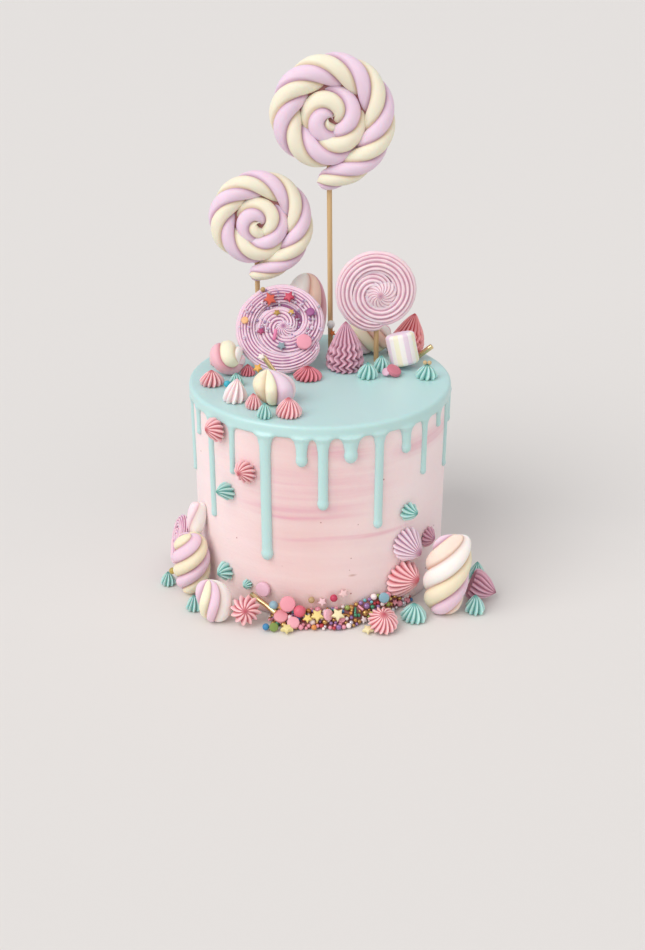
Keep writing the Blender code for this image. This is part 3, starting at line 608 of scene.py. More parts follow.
def kiss_pattern(ridges, rows):
    """An upright kiss one unit wide from its middle and one unit tall, its grooves running straight up."""
    rings = [(0.9, 0.0)]                   # each ring's radius and height
    for i in range(1, rows + 1):
        rise = i / rows
        rings.append((1.03 * math.cos(rise * math.pi / 2 * 0.985) ** 0.8 * (0.94 + 0.26 * rise),
                      0.04 + 0.71 * rise + 0.25 * rise ** 3))
    bpy.ops.mesh.primitive_circle_add(vertices=4 * ridges, radius=rings[0][0])
    made = bpy.context.object
    made.name = f"kiss_pattern_{ridges}"
    groove = made.data.attributes.new("groove", "FLOAT", "POINT")
    for i, mark in enumerate(groove.data):
        mark.value = (1.0, 0.45, 0.0, 0.45)[i % 4]
    bpy.ops.object.mode_set(mode="EDIT")
    pick("VERT", lambda vert: vert.index % 4 == 0)
    deep = KISS_GROOVES[ridges]
    bpy.ops.transform.resize(value=(deep, deep, 1), center_override=(0, 0, 0))
    pick("VERT", lambda vert: vert.index % 2 == 1)
    half = 0.56 + 0.44 * deep
    bpy.ops.transform.resize(value=(half, half, 1), center_override=(0, 0, 0))
    bpy.ops.mesh.select_all(action="SELECT")
    for (wide, low), (narrow, high) in zip(rings, rings[1:]):
        share = narrow / wide
        bpy.ops.mesh.extrude_edges_move(TRANSFORM_OT_translate={"value": (0, 0, high - low)})
        bpy.ops.transform.resize(value=(share, share, 1), center_override=(0, 0, high))
    bpy.ops.mesh.merge(type="CENTER")
    pick("EDGE", lambda edge: edge.is_boundary)
    bpy.ops.mesh.fill()
    bpy.ops.transform.edge_crease(value=0.7)
    depth = bmesh.from_edit_mesh(made.data).verts.layers.float["groove"]
    for line, crease_share in ((1.0, 0.6), (0.0, 0.5)):
        pick("EDGE", lambda edge: (all(abs(v[depth] - line) < 0.1 for v in edge.verts)
                                   and abs(edge.verts[0].co.z - edge.verts[1].co.z) > 0.01))
        bpy.ops.transform.edge_crease(value=crease_share)
    bpy.ops.mesh.select_all(action="SELECT")
    bpy.ops.mesh.normals_make_consistent(inside=False)
    bpy.ops.object.mode_set(mode="OBJECT")
    apply_step(made, "SUBSURF", levels=2)
    bpy.ops.object.shade_smooth()
    return made


def set_down(at, facing):
    """The move that stands an upright piece at a place in mm, its top toward the way it faces."""
    turn = Vector(UP).rotation_difference(Vector(facing).normalized()).to_matrix().to_4x4()
    return Matrix.Translation(Vector(at) * MM) @ turn


def pipe_kiss(name, pattern, at, facing, radius, height, twist=25.0, lean=(0, 0, 0), ruffle=0.0):
    """A copy of a kiss pattern at its real size: turned on itself, its tip dragged aside, and set down.

    ruffle is how far, in degrees, its ridges swing from side to side low down, where it was piped slowly.
    """
    take(pattern)
    bpy.ops.object.duplicate()
    made = bpy.context.object
    made.name = name
    stand = set_down(at, facing)
    drag = stand.to_3x3().transposed() @ Vector(lean) * MM
    seed = Vector(at) * 0.37
    for vert in made.data.vertices:
        rise = max(0.0, vert.co.z)
        wobble = 1 + 0.08 * noise.noise(vert.co * 1.7 + seed)
        swing = ruffle * math.sin(2 * math.pi * rise * height / RUFFLE_LENGTH)
        swing *= max(0.0, 1 - rise / RUFFLE_TOP) ** 0.5
        spun = Matrix.Rotation(math.radians(twist * rise + swing), 3, "Z") @ vert.co
        vert.co = Vector((spun.x * radius * MM * wobble, spun.y * radius * MM * wobble, rise * height * MM))
        vert.co += drag * rise ** 1.5
    made.data.transform(stand)
    return made


def on_wall(azimuth, up, off=0.0):
    """A place on the cake's side, from its azimuth and height, and the way it faces."""
    return (*around(azimuth, WALL + off), up), (*around(azimuth), 0)


MERINGUES = {                              # colour on the crests, and painted shade in the grooves
    "pink": ("FCC9CB", "BC4E5A"), "deep_pink": ("E68C98", "8E1826"), "mint": ("B8E0DA", "4A958C"),
    "blush": ("FAEDEC", "E8C2C4"), "salmon": ("F7AEB0", "C02C3A"), "lilac": ("F3DAE4", "A87490"),
    "mauve": ("DFB1C1", "9E5870"), "rose": ("DDB0BE", "B0718A"),
}
TO_VIEWER = (0, -0.9, 0.43)
KISSES = (                                 # node, colour, ridges, place, facing, radius, height and own shape
    ("kiss_pink_far_left", "pink", 12, (-66, -14.5, ON_TOP), UP, 7.8, 10, {"lean": (0, -2, 0)}),
    ("kiss_mint_pale", "mint", 9, (-51, -16, ON_TOP), UP, 5, 8),
    ("kiss_blush", "blush", 9, (-50.5, -41.5, ON_TOP), UP, 7.6, 14, {"lean": (2, 1, 0)}),
    ("kiss_pink_small", "pink", 12, (-38.6, -52, ON_TOP), UP, 5.2, 9),
    ("kiss_mint_front", "mint", 9, (-31.5, -66.5, ON_TOP), UP, 4.8, 9),
    ("kiss_pink_front", "pink", 16, (-17.8, -63.2, ON_TOP), UP, 8.2, 11),
    ("kiss_mauve_tall", "mauve", 16, (16, 13.5, ON_TOP), UP, 12.6, 31, {"twist": 8, "ruffle": 9}),
    ("kiss_deep_pink", "deep_pink", 16, (-7.5, -4, ON_TOP), UP, 9.6, 8),
    ("kiss_deep_pink_left", "deep_pink", 12, (-45, 2, ON_TOP), UP, 5, 7),
    ("kiss_mint_middle", "mint", 9, (29.5, -2.5, ON_TOP), UP, 6.8, 10),
    ("kiss_mint_behind", "mint", 9, (38.5, 9.5, ON_TOP), UP, 6, 10),
    ("kiss_mint_right", "mint", 9, (66, -3, ON_TOP), UP, 7.2, 9),
    ("kiss_pink_tall_back", "salmon", 16, (55.4, 45, ON_TOP), UP, 12.6, 26, {"lean": (6, 0, 0), "ruffle": 9}),
    ("kiss_pink_back_left", "pink", 12, (-64, 21, ON_TOP), UP, 7, 12),
    ("kiss_lilac_back", "lilac", 12, (31, 66, ON_TOP), UP, 9, 14),
    ("kiss_pink_back", "pink", 12, (-33, 66.5, ON_TOP), UP, 8, 12),
    ("kiss_side_pink_high", "pink", 12, *on_wall(-137.4, 115, 1.7), 7.8, 9, {"lean": (0, 0, 2)}),
    ("kiss_side_pink_low", "pink", 12, *on_wall(-122.2, 93.6), 7.8, 9, {"lean": (0, 0, 2)}),
    ("kiss_side_mint_left", "mint", 9, *on_wall(-132.8, 76.5), 6.2, 8, {"lean": (-2, 0, 2)}),
    ("kiss_side_mint_right", "mint", 9, *on_wall(-49.3, 64), 6.3, 8, {"lean": (1, 0, 1)}),
    ("kiss_side_lilac", "lilac", 16, *on_wall(-50, 43), 10.8, 9, {"twist": 10, "lean": (4, 0, -5)}),
    ("kiss_foot_mint_far_left", "mint", 9, (-97, -38.5, ON_FLOOR), UP, 5.2, 9),
    ("kiss_foot_mint_left", "mint", 9, (-77.5, -68.5, ON_FLOOR), UP, 5.5, 10),
    ("kiss_foot_pink_left", "pink", 12, (-44.5, -84.5, ON_FLOOR + 9.2), TO_VIEWER, 9.8, 9),
    ("kiss_foot_mint_wall", "mint", 9, *on_wall(-136, 20), 6.5, 8),
    ("kiss_foot_mint_tiny", "mint", 9, *on_wall(-123.3, 17), 3.6, 5),
    ("kiss_foot_pink_wall", "pink", 16, *on_wall(-52, 19), 12.4, 11, {"lean": (4, 0, 3)}),
    ("kiss_foot_pink_low", "pink", 16, (37.5, -90.5, 4.6), (0.05, -0.42, 0.9), 10, 9),
    ("kiss_foot_mint_front", "mint", 12, (57, -79.5, ON_FLOOR), UP, 8.5, 11),
    ("kiss_foot_mauve", "mauve", 16, (94, -56, 11.8), (0.92, -0.18, -0.35), 10.5, 17),
    ("kiss_foot_mint_back", "mint", 9, (101, -31, ON_FLOOR), UP, 5.8, 12),
    ("kiss_foot_mint_far_right", "mint", 9, (95, -71.5, ON_FLOOR), UP, 6.5, 12),
    ("kiss_foot_deep_pink", "rose", 12, *on_wall(-34, 38), 7, 6),
)
PINK_SLOT = "meringue_pink"
OTHER_SLOTS = {"mint": "meringue_mint", "lilac": "meringue_lilac", "mauve": "meringue_mauve"}

meringues = {tint: new_meringue(tint + "_meringue", *colours) for tint, colours in MERINGUES.items()}
patterns = {}
for node, tint, ridges, at, facing, radius, height, *own_shape in KISSES:
    shape = own_shape[0] if own_shape else {}
    rows = RUFFLED_ROWS if "ruffle" in shape else KISS_ROWS
    if (ridges, rows) not in patterns:
        patterns[ridges, rows] = kiss_pattern(ridges, rows)
    piece = pipe_kiss("meringue_" + node, patterns[ridges, rows], at, facing, radius, height, **shape)
    dress(piece, node, OTHER_SLOTS.get(tint, PINK_SLOT), meringues[tint])


# Meringue swirls: flat discs piped with an open star nozzle in a spiral from the middle out.
# The teeth of the nozzle left fine ridges along the band, and each turn rests against the last.
SWIRL_STEP = 5.0                           # degrees between points of the spiral
SWIRL_VALLEY = 0.8                         # how far out the band reaches between two ridges
SWIRL_FURROWS = 0.62                       # share of the radius within which the turns lie side by side
SWIRL_EVEN = (12, 8)                       # how often the spiral's reach and its thickness are evened out
HEART_TWIST = -75.0
BASE_SHARE = 0.8                           # width of the flat start as a share of the swirl's
BASE_FLATNESS = 0.12
BASE_LIFT = 0.4                            # its height as a share of the swirl's thickness
BUBBLES = ((0.3, 260), (0.15, 900))        # how deep in mm, and how closely, air bubbles broke the ridges
OPEN_SWIRL = (                             # azimuth from the front, radius and thickness as shares
    (-400, 0.05, 0.85), (-300, 0.2, 1), (-180, 0.4, 1.05), (-90, 0.54, 1.05), (0, 0.67, 1.05),
    (90, 0.7, 1.02), (180, 0.73, 1), (250, 0.74, 0.96), (285, 0.76, 0.7),
)
WIDE_SWIRL = (
    (-350, 0.05, 0.85), (-275, 0.2, 1), (-210, 0.27, 1.05), (-130, 0.33, 1), (-45, 0.46, 1),
    (20, 0.67, 0.9), (90, 0.76, 0.84), (180, 0.76, 0.82), (270, 0.75, 0.86), (310, 0.75, 0.82),
    (340, 0.75, 0.55),
)
SWIRLS = {                                 # centre, radius, thickness, facing, rope radius and teeth, in mm
    "rosette_pink": ((35.5, 31, 173), 26, 9, (0, -1, 0.1), 7.2, 14, OPEN_SWIRL),
    "rosette_mauve": ((-23.5, 22.5, 148.6), 30, 10, (0, -0.77, 0.64), 8.4, 19, WIDE_SWIRL),
    "rosette_edge_left": ((-87.5, -17, 18.6), 18, 7, (-0.95, -0.2, 0.25), 5.0, 14, OPEN_SWIRL),
}
SWIRL_HEARTS = {                           # the star where piping began: its place, radius and height
    "rosette_pink": (2, -1.5, 10.5, 6),
    "rosette_mauve": (0.5, 0, 8, 4),
    "rosette_edge_left": (0, 0, 6, 4),
}


def ridge(share):
    """A ridge left by a nozzle's tooth: a narrow crest with a wider hollow beside it."""
    return 1 - (1 - share * share) ** 0.75


def stand_up(centre, facing):
    """The move that turns a flat piece's top to a facing, its upper edge kept upward, and places it."""
    out = Vector(facing).normalized()
    side = Vector(UP).cross(out).normalized()
    high = out.cross(side)
    turned = Matrix((side, high, out)).transposed().to_4x4()
    return Matrix.Translation(Vector(centre) * MM) @ turned


# each swirl's second colour is painted shade, in the grooves between its ridges and the furrows between its
# turns
swirl_colours = {
    "rosette_pink": ("lilac", new_meringue("pink_swirl", "F6DAE0", "C48CA0", begins=0.5)),
    "rosette_mauve": ("mauve", new_meringue("mauve_swirl", "F1D3DF", "A0608A", begins=0.5)),
    "rosette_edge_left": ("mauve", new_meringue("edge_swirl", "F0CEDA", "C07E9E", begins=0.4)),
}
swirl_lines = {}
for node, (centre, radius, thick, facing, rope_radius, teeth, line) in SWIRLS.items():
    steps = steps_along(line, SWIRL_STEP, *SWIRL_EVEN)
    last = len(steps) - 1
    path = []
    for i, (azimuth, reach, size) in enumerate(steps):
        near = min(1.0, (i + 0.3) / 4, (last - i + 0.3) / 5)      # both ends of the band are rounded
        size *= math.sqrt(1 - (1 - near) ** 2)
        path.append((Vector((*around(azimuth), 0)) * reach * radius * MM, size, 0.5 * i / last))
    swirl_lines[node] = [point[0] / MM for point in path]
    teeth_marks = lobed((1,) * teeth, SWIRL_VALLEY, 8 * teeth, ridge)
    swirl = sweep("swirl_" + node, teeth_marks, rope_radius * MM, path)
    for face in swirl.data.polygons:
        face.material_index = 0
    depth = swirl.data.attributes["groove"].data
    ups = [vert.normal.copy() for vert in swirl.data.vertices]
    for vert, up, mark in zip(swirl.data.vertices, ups, depth):
        low = 1.0 - 1.6 * vert.co.z / (rope_radius * MM)
        if vert.co.xy.length < SWIRL_FURROWS * radius * MM:
            # painted shade deepens down into the furrow between two turns, and the back gets only a faint
            # share of it
            mark.value = max(mark.value, min(1.0, low)) if low < 1.4 else 0.2
        vert.co += up * MM * sum(deep * noise.noise(vert.co * close) for deep, close in BUBBLES)
    flat = Matrix.Diagonal((1, 1, 0.5 * thick / rope_radius, 1))
    swirl.data.transform(Matrix.Translation((0, 0, 0.5 * thick * MM)) @ flat)
    across, upward, wide, high = SWIRL_HEARTS[node]
    heart = pipe_kiss("heart", patterns[16, KISS_ROWS], (across, upward, 0.62 * thick), UP, wide, high,
                      twist=HEART_TWIST)
    tint, finish = swirl_colours[node]
    bpy.ops.mesh.primitive_uv_sphere_add(segments=32, ring_count=12, radius=BASE_SHARE * radius * MM,
                                         location=(0, 0, BASE_LIFT * thick * MM), scale=(1, 1, BASE_FLATNESS))
    base = settle(bpy.context.object)      # the flat start that the band was piped over
    # painted shade: the base's upper face, seen between the turns, takes the full groove colour, and its
    # underside none
    for vert, mark in zip(base.data.vertices, base.data.attributes.new("groove", "FLOAT", "POINT").data):
        mark.value = 1.0 if vert.co.z > BASE_LIFT * thick * MM else 0.0
    for part in (swirl, heart, base):
        part.data.materials.append(finish)
    swirl = joined([swirl, heart, base])
    swirl.data.transform(stand_up(centre, facing))
    settle(swirl)
    dress(swirl, node, OTHER_SLOTS[tint])


# Twisted marshmallows: short thick ropes of four soft strands in pastel colours, dusted with starch.
# Both ends were cut while soft, which pinched them nearly shut.
STRAND_COLOURS = {                         # colour on the crests, and painted shade in the grooves between strands
    "white": ("F6F0EA", "DDBFB4"), "yellow": ("F1E6C8", "D6BA98"), "orchid": ("ECCFDD", "C08EA2"),
    "rose": ("EDBCC4", "C97F8C"), "blush": ("F6DFE3", "DDB2BC"), "peach": ("F3D3C0", "CF9884"),
    "shell": ("F6E0D0", "D4A890"), "ivory": ("F3EED2", "D8C49E"), "pale_lilac": ("ECD6E3", "C79FB6"),
}
MARSHMALLOWS = (                           # node, strands, place, width and height in mm, and its own shape
    ("marshmallow_front", ("blush", "pale_lilac", "ivory", "yellow", "white"),
     (-25.5, -43.5, ON_TOP), 25, 20.5,
     {"widths": (0.9, 1.1, 0.7, 1.6, 1.6), "twist": 25, "crimp": 0.6, "spin": 122, "full": 0.5, "tip": 1.5,
      "lean": (-5, 0)}),
    ("marshmallow_left", ("blush", "rose", "ivory", "white"), (-64.7, 11.5, ON_TOP + 11.5), 21, 21,
     {"widths": (1, 1.6, 1.3, 0.8), "twist": 150, "crimp": 0.2, "facing": (0.6, -0.62, -0.1), "spin": 40}),
    ("marshmallow_standing", ("peach", "white", "ivory", "rose"), (-10, 57, ON_TOP), 28, 49,
     {"widths": (0.8, 1.9, 1, 1), "twist": 70, "crimp": 0.45, "spin": 20, "tip": 0.85, "lean": (1, 0)}),
    ("marshmallow_lying", ("white", "blush", "ivory", "peach"), (13.5, 41, ON_TOP + 9.3), 21, 33,
     {"facing": (1, 0.08, 0.05), "twist": 330, "crimp": 0.1, "full": 0.5, "spin": 60}),
    ("marshmallow_foot_left", ("yellow", "orchid", "yellow", "orchid"), (-80.5, -47, ON_FLOOR), 24, 41,
     {"twist": 380, "crimp": 0.4}),
    ("marshmallow_foot_front", ("peach", "white", "orchid", "ivory", "orchid"),
     (-63, -79.5, ON_FLOOR), 22, 27,
     {"widths": (0.8, 1.2, 0.5, 0.5, 1.1), "twist": 70, "crimp": 0.6, "spin": 165, "tip": 0.8,
      "lean": (-3.5, 0)}),
    ("marshmallow_foot_right", ("orchid", "yellow", "white", "shell"), (75.5, -70.5, ON_FLOOR), 28, 53,
     {"twist": 330, "crimp": 0.8, "full": 0.46, "depth": 26, "lean": (5, 0)}),
    ("marshmallow_foot_back", ("white", "blush"), (-78.5, -38, 37), 12, 20.5,
     {"widths": (1.5, 1), "twist": 80, "facing": (0.15, 0.1, 1), "full": 0.4, "spin": 150}),
)
STRAND_VALLEY = 0.78                       # how far out a marshmallow reaches between two strands
STRAND_POINTS = 64
STRAND_ROWS = 48


def twist_marshmallow(name, at, width, height, facing=UP, twist=120, crimp=0.35, full=0.55, tip=None,
                      spin=0, depth=None, lean=(0, 0), widths=(1, 1, 1, 1)):
    """Soft strands swept along a short straight line, drawn in at both ends and pinched at the top.

    full and tip say how slowly the foot and the top draw in: 1 is round, and above 1 comes to a point.
    twist is in degrees from foot to top, crimp is how far the top is pinched, and depth is its thickness
    from front to back where that isn't its width.
    """
    path = []
    for i in range(STRAND_ROWS + 1):
        share = i / STRAND_ROWS
        along = 0.5 - 0.5 * math.cos(math.pi * share)
        spread = max(0.02, math.sin(math.pi * share) ** (full if share < 0.5 else tip or full))
        path.append((Vector((along * height * MM, 0, 0)), spread, math.radians(spin + twist * along)))
    made = sweep(name, lobed(widths, STRAND_VALLEY, STRAND_POINTS, soft_strand), 0.5 * width * MM, path)
    for vert in made.data.vertices:
        share = vert.co.x / (height * MM)
        squeeze = 1 - crimp * max(0.0, 2 * share - 1) ** 2
        drag = Vector((*lean, 0)) * MM * max(0.0, share) ** 2
        vert.co = Vector((-vert.co.z, vert.co.y * squeeze * (depth or width) / width, vert.co.x)) + drag
    made.data.transform(set_down(at, facing))
    return settle(made)


strand_finishes = {strand: new_meringue(strand + "_marshmallow", *colours, 0.8)
                   for strand, colours in STRAND_COLOURS.items()}
for node, strands, at, width, height, shape in MARSHMALLOWS:
    piece = twist_marshmallow("twist_" + node, at, width, height, **shape)
    dress(piece, node, "marshmallow", *[strand_finishes[strand] for strand in strands])

# The barrel is a short cut length of a straight marshmallow, so its stripes run lengthwise
BARREL_PLACE = (54, 14.5, ON_TOP + 2.1)
BARREL_FACING = (-0.22, 0.2, 1)
BARREL_WIDTH = 18.5 * MM
BARREL_HEIGHT = 20 * MM
BARREL_EDGE = 2.2 * MM
BARREL_STRIPES = ("blush", "pale_lilac", "white", "ivory", "white", "pale_lilac", "white", "ivory", "white")
bpy.ops.mesh.primitive_cylinder_add(vertices=72, radius=BARREL_WIDTH / 2, depth=BARREL_HEIGHT,
                                    location=(0, 0, BARREL_HEIGHT / 2))
barrel = bpy.context.object
barrel.name = "cut_marshmallow"
settle(barrel)
round_edges(lambda edge: abs(edge.verts[0].co.z - edge.verts[1].co.z) < 0.1 * MM, BARREL_EDGE, 5)
for face in barrel.data.polygons:
    way_round = math.atan2(face.center.y, face.center.x) / (2 * math.pi) % 1
    face.material_index = int(way_round * 2 * len(BARREL_STRIPES)) % len(BARREL_STRIPES)
barrel.data.transform(set_down(BARREL_PLACE, BARREL_FACING))
settle(barrel)
dress(barrel, "marshmallow_barrel", "marshmallow", *[strand_finishes[stripe] for stripe in BARREL_STRIPES])


# Sugar decorations: thin rods of pulled sugar brushed with gold dust, and one disc of pressed pink sugar.
# The rods were laid against the toppings, and the disc was pushed edgeways into the icing.
GOLD_RODS = {                              # the rod's two ends and its radius in mm
    "gold_rod_left": ((-34, -19.5, 147), (-22, -18, 128.4), 1.5),
    "gold_rod_right": ((72, 30, 136.3), (63, 31, 128.8), 1.7),
    "gold_rod_foot": ((-42, -71.5, 12.6), (-26.5, -86, 8.3), 1.6),
}


def new_candy(name, colour, metallic=0.0, roughness=0.28):
    """Pressed or polished sugar in one colour, some with a metal dust."""
    made, tree, shader = new_material(name)
    add_grain(tree, shader, linear(colour), (200.0, 0.12), (1500.0, 0.08), roughness)
    shader.inputs["Metallic"].default_value = metallic
    return made


gold = new_candy("gold_dust", "E3CB98", 0.95, 0.2)
for node, (top, foot, radius) in GOLD_RODS.items():
    dress(rod("sugar_" + node, top, foot, radius * MM), node, "gold", gold)

DISC_RADIUS = 4.75 * MM
DISC_THICKNESS = 3 * MM
DISC_EDGE = 0.7 * MM
DISC_PLACE = (45.8, 0, ON_TOP + 3.2)
DISC_FACING = (0.4, -0.25, 0.85)
bpy.ops.mesh.primitive_cylinder_add(vertices=40, radius=DISC_RADIUS, depth=DISC_THICKNESS)
disc = bpy.context.object
disc.name = "pink_disc"
round_edges(at_end, DISC_EDGE, 3)
disc.data.transform(stand_up(DISC_PLACE, DISC_FACING))
settle(disc)
dress(disc, "disc_pink", PINK_SLOT, new_candy("pink_sugar", "D07888", roughness=0.6))


# Bank of sprinkles: sugar pearls, stars, discs and short rods heaped in the corner at the cake's foot.
# Handfuls were pressed against the soft buttercream, so they stick to it and to a low bank under them,
# coloured dark reddish brown as painted shade for the gaps between the sprinkles.
HEAP_LINE = (                              # azimuth, how far out and how high on the cake it reaches, in mm
    (-112, 84, 3.2), (-108, 92, 5), (-101, 94, 6.5), (-90, 92.5, 7), (-80, 93.5, 8), (-75, 90, 9),
    (-70, 89, 12), (-63, 89, 13), (-57, 84, 10.5), (-50, 83.5, 6), (-45, 82.5, 1.5),
)
BANK_SINK = 1.6                            # how far the bank lies under the sprinkles, in mm
KINDS = ("pearl", "disc", "star", "rod")
KIND_MIX = ("pearl",) * 14 + ("disc", "star", "rod")
PEARL_SIZES = (2.0, 2.4, 2.8, 3.4, 4.0)
OTHER_SIZES = {"disc": 4.5, "star": 4.6, "rod": 4.5}
TRIES = 9000                               # places tried for a sprinkle; those already taken are passed over
STAR_WAIST = 0.52                          # how far out a star's hollows lie
NEARNESS = 0.86                            # how near sprinkles lie to each other, as a share of their width
ROD_NEARNESS = 0.55
CANDIES = (                                # colour, share of metal, weight in the mix
    ("C9A062", 0.75, 5), ("B98448", 0.6, 2), ("B83A42", 0.1, 3), ("4F9472", 0.35, 3), ("4A7FB2", 0.3, 3),
    ("9A76A8", 0.3, 4), ("D6D2DA", 0.7, 6), ("DF9450", 0.1, 1), ("ECD888", 0.0, 2), ("E89AAA", 0.0, 8),
    ("F2E2E0", 0.0, 7), ("74B8BC", 0.25, 3), ("9AA85A", 0.3, 2),
)


def heap_lift(azimuth, share):
    """Height of the bank's surface at a share of the way from the cake to its front edge."""
    return ease(HEAP_LINE, azimuth)[1] * (1 - 0.12 * share) * (1 - max(0.0, share - 0.35) / 0.65) + 0.6


def sprinkle(kind):
    """One sprinkle a millimetre across, lying flat."""
    if kind == "pearl":
        bpy.ops.mesh.primitive_uv_sphere_add(segments=14, ring_count=9, radius=0.5)
    elif kind == "disc":
        bpy.ops.mesh.primitive_cylinder_add(vertices=24, radius=0.5, depth=0.3)
    elif kind == "rod":
        bpy.ops.mesh.primitive_cylinder_add(vertices=10, radius=0.16, depth=1)
    else:
        bpy.ops.mesh.primitive_cylinder_add(vertices=10, radius=0.5, depth=0.36)
    made = bpy.context.object
    if kind == "star":
        bpy.ops.object.mode_set(mode="EDIT")
        pick("VERT", lambda vert: round((math.degrees(math.atan2(vert.co.y, vert.co.x)) + 18) / 36) % 2)
        bpy.ops.transform.resize(value=(STAR_WAIST, STAR_WAIST, 1), center_override=(0, 0, 0))
        bpy.ops.object.mode_set(mode="OBJECT")
    if kind != "pearl":
        round_edges(at_end, 0.07, 2)
    return made


def strew(name, kind, pieces, materials):
    """One mesh of many like sprinkles: each has its size, place, facing and a material's number."""
    pattern = sprinkle(kind)
    corners, sides, tints = [], [], []
    for size, place, facing, tint in pieces:
        moved = set_down(place, facing) @ Matrix.Scale(size * MM, 4)
        sides += [[len(corners) + i for i in face.vertices] for face in pattern.data.polygons]
        corners += [moved @ vert.co for vert in pattern.data.vertices]
        tints += [tint] * len(pattern.data.polygons)
    mesh = bpy.data.meshes.new(name)
    mesh.from_pydata(corners, [], sides)
    mesh.polygons.foreach_set("material_index", tints)
    mesh.shade_smooth()
    made = bpy.data.objects.new(name, mesh)
    bpy.context.scene.collection.objects.link(made)
    for material in materials:
        mesh.materials.append(material)
    bpy.data.objects.remove(pattern)
    if kind != "pearl":
        mesh.set_sharp_from_angle(angle=math.radians(50))
    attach(made, "root")
    return made


candies = [new_candy(f"candy_{i + 1}", colour, metal) for i, (colour, metal, _) in enumerate(CANDIES)]


def tint_number(colour, roughness):
    """The number of a colour among the candies, added when it is new."""
    name = "candy_" + colour.lower()
    names = [candy.name for candy in candies]
    if name not in names:
        candies.append(new_candy(name, colour, 0.0, roughness))
        return len(names)
    return names.index(name)


start, end = HEAP_LINE[0][0], HEAP_LINE[-1][0]
bpy.ops.mesh.primitive_grid_add(x_subdivisions=60, y_subdivisions=8, size=1)
bank = bpy.context.object
bank.name = "sprinkle_bank"
for vert in bank.data.vertices:
    azimuth = start + (end - start) * (vert.co.x + 0.5)
    share = vert.co.y + 0.5
    reach = WALL + (ease(HEAP_LINE, azimuth)[0] - 2 - WALL) * share
    lift = max(ON_FLOOR, heap_lift(azimuth, share) - BANK_SINK) if share < 0.99 else ON_FLOOR
    lift += 0.8 * noise.noise(Vector((azimuth * 0.6, share * 6, 0))) if 0.05 < share < 0.99 else 0
    vert.co = Vector((*around(azimuth, reach), max(ON_FLOOR, lift))) * MM
settle(bank)
# painted shade: the bank is one dark reddish brown, standing in for the shadowed gaps between the sprinkles
dress(bank, "sprinkle_heap", "sprinkles", new_candy("sprinkle_gap_shade", "B0706C", 0.0, 0.7))

draw = random.Random(11)
mix = [i for i, (_, _, weight) in enumerate(CANDIES) for _ in range(weight)]
heaped = {kind: [] for kind in KINDS}
PLACED = (                                 # the larger ones, each with its own place, facing and colour
    ("disc", 9.5, (-19.4, -84, 13.2), (0, -0.8, 0.5), "E898A4"),
    ("pearl", 7.4, (-12.2, -86.5, 9.6), UP, "DC6478"),
    ("disc", 8.4, (-23.6, -87, 6.4), (0.1, -0.5, 0.9), "E59AA2"),
    ("disc", 9.2, (-34.6, -74.4, 17.6), (-0.42, -0.9, 0.1), "E7BCCB"),
    ("pearl", 5.6, (-28, -82.5, 11.4), UP, "8FB0BC"), ("pearl", 4, (-5.1, -82.2, 14.9), UP, "B99A70"),
    ("pearl", 4.6, (8.3, -82.2, 16.2), UP, "BE3A58"),
    ("star", 6, (1.3, -82, 13.4), (0.1, -0.8, 0.5), "EBC4C8"),
    ("star", 6, (14.1, -80.6, 18.4), (0.2, -0.9, 0.3), "ECC8C6"),
    ("star", 8.6, (-1.6, -88.5, 7.8), (0, -0.6, 0.8), "EBD486"),
    ("star", 8.6, (10.7, -88.5, 8.4), (0.1, -0.6, 0.8), "F0E3B4"),
    ("star", 8, (-19.7, -94.6, 2.6), (0, -0.2, 1), "EADB98"),
    ("star", 7, (28.6, -94.6, 2), (0, -0.2, 1), "EFE2B0"),
    ("disc", 7, (4.9, -88.4, 8.4), (0.8, -0.6, 0.4), "EBB4C0"),
    ("disc", 6.4, (38.8, -76.6, 13), (0.2, -0.9, 0.4), "87AEBB"),
    ("disc", 5.4, (-27.6, -93, 2.6), (0.2, -0.7, 0.6), "7E9448"),
    ("pearl", 4.2, (-32.4, -92.6, 2.6), UP, "3E86B4"),
    ("star", 5.5, (-23.6, -82.4, 10.4), (0, -0.8, 0.5), "E2A46A"),
    ("disc", 7.5, (-16, -91, 4.4), (0, -0.6, 0.8), "EAA6B0"),
    ("star", 6, (-7.5, -89.6, 6.6), (0, -0.6, 0.8), "E9CF7A"),
)
taken_places = []
for kind, size, place, facing, colour in PLACED:
    heaped[kind].append((size, place, facing, tint_number(colour, 0.45)))
    taken_places.append((Vector(place), 0.3 * size))
for _ in range(TRIES):
    azimuth = draw.uniform(start + 1, end - 1)
    share = draw.random() ** 0.8
    kind = draw.choice(KIND_MIX)
    pearl = draw.choice(PEARL_SIZES)
    size = OTHER_SIZES.get(kind, pearl)
    reach = max(WALL + (ease(HEAP_LINE, azimuth)[0] - WALL) * share, WALL + size / 2 + 0.3)
    lift = max(heap_lift(azimuth, share) + draw.uniform(-0.3, 0.2) * size, ON_FLOOR + size / 2)
    place = Vector((*around(azimuth, reach), lift))
    gap = 0.5 * size * (ROD_NEARNESS if kind == "rod" else NEARNESS)
    if any((place - other).length < gap + other_gap for other, other_gap in taken_places):
        continue
    taken_places.append((place, gap))
    across, out = around(azimuth)
    facing = Vector((0.5 * across + draw.uniform(-0.5, 0.5), 0.6 * out + draw.uniform(-0.3, 0.3), 1))
    if kind == "rod":
        facing = Vector((draw.uniform(-1, 1), draw.uniform(-1, 1), 0.3))
    heaped[kind].append((size, place, facing, draw.choice(mix)))
for kind, pieces in heaped.items():
    strew(f"heaped_{kind}s", kind, pieces, candies)

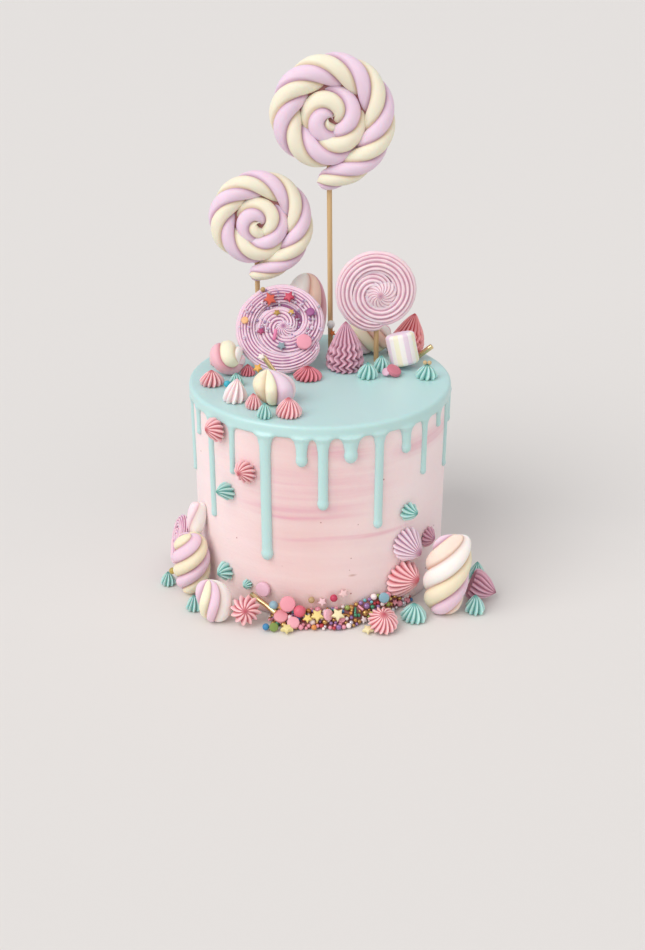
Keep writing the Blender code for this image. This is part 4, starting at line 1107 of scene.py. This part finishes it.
# The mauve swirl carries a scatter of its own, and a few pieces lie loose between the toppings
SWIRL_STREWN = (                           # kind, size, place across and up the swirl in mm, and colour
    ("disc", 9.6, 13.5, -11, "EE9FB0"), ("star", 8.6, -8, 17.5, "D9604A"), ("star", 7.6, 4, 19, "C43A56"),
    ("disc", 5.4, 17.5, 9, "9A4E86"), ("star", 4.6, -3.5, 8.5, "B08A3C"), ("star", 4.4, 5.5, 9.5, "D8B05E"),
    ("star", 6, -0.5, -13.5, "8FA0A8"), ("disc", 4.6, -23.5, 3.5, "E8B078"),
    ("pearl", 3.2, -12.5, 24.5, "B89A66"), ("rod", 7, -4.5, -6, "E27FA6"), ("pearl", 2.6, 8.6, 6.2, "8A3A5C"),
    ("star", 5, -13.5, -3.5, "B04470"),
)
LOOSE = (                                  # kind, size, place in mm, facing and colour
    ("pearl", 4.4, (-56.2, -20.2, ON_TOP + 2.2), UP, "3FB4C8"),
    ("star", 6, (-37, -28.6, 143), (-0.2, -0.7, 0.7), "E0A646"),
    ("pearl", 2.7, (64.7, -3.6, 137.4), UP, "CDB084"), ("pearl", 2.7, (67.5, -3.4, 137.2), UP, "CDB084"),
    ("pearl", 5.2, (6.9, 36, 148.8), UP, "F1F3EE"),
    ("star", 4.6, (7.9, 35.6, 143), (0.2, -0.8, 0.5), "E07E3A"),
    ("pearl", 4.2, (-93, -45.6, 13.8), UP, "B9A24E"),
    ("disc", 5.4, (41, -1.6, ON_TOP + 3), (-0.4, -0.6, 0.6), "D9AEC0"),
    ("star", 5, (-35.2, -21.4, 147.6), (0, -0.7, 0.7), "F3E6DE"),
)
SWIRL_PEARLS = 90
SWIRL_PEARL_COLOURS = ("CDB8D0", "BDBAC2", "DCC8DA", "A48AB0", "E4D4DC")
extras = {kind: [] for kind in KINDS}
centre, _, thick, facing, rope_radius, _, _ = SWIRLS["rosette_mauve"]
stand = stand_up(centre, facing)
out = stand.to_3x3() @ Vector(UP)


def swirl_surface(across, upward):
    """Height of the mauve swirl's surface above its back."""
    away = min((point - Vector((across, upward, 0))).length for point in swirl_lines["rosette_mauve"])
    return 0.5 * thick * (1 + math.sqrt(max(0.0, 1 - (away / rope_radius) ** 2)))


for kind, size, across, upward, colour in SWIRL_STREWN:
    lift = swirl_surface(across, upward) + 0.12 * size
    place = stand @ (Vector((across, upward, lift)) * MM) / MM
    tip = out + Vector((draw.uniform(-0.25, 0.25), 0, draw.uniform(-0.25, 0.25)))
    if kind == "rod":
        tip = stand.to_3x3() @ Vector((0.2, 1, 0.3))
    extras[kind].append((size, place, tip, tint_number(colour, 0.4)))
for kind, size, place, facing, colour in LOOSE:
    extras[kind].append((size, place, facing, tint_number(colour, 0.4)))
for _ in range(SWIRL_PEARLS):
    azimuth = draw.uniform(-60, 210)
    across, upward = around(azimuth, draw.uniform(8, 27))
    size = draw.uniform(1.1, 1.9)
    place = stand @ (Vector((across, upward, swirl_surface(across, upward) + 0.2 * size)) * MM) / MM
    extras["pearl"].append((size, place, out, tint_number(draw.choice(SWIRL_PEARL_COLOURS), 0.4)))
for kind, pieces in extras.items():
    strew(f"strewn_{kind}s", kind, pieces, candies)

for pattern in patterns.values():
    bpy.data.objects.remove(pattern)
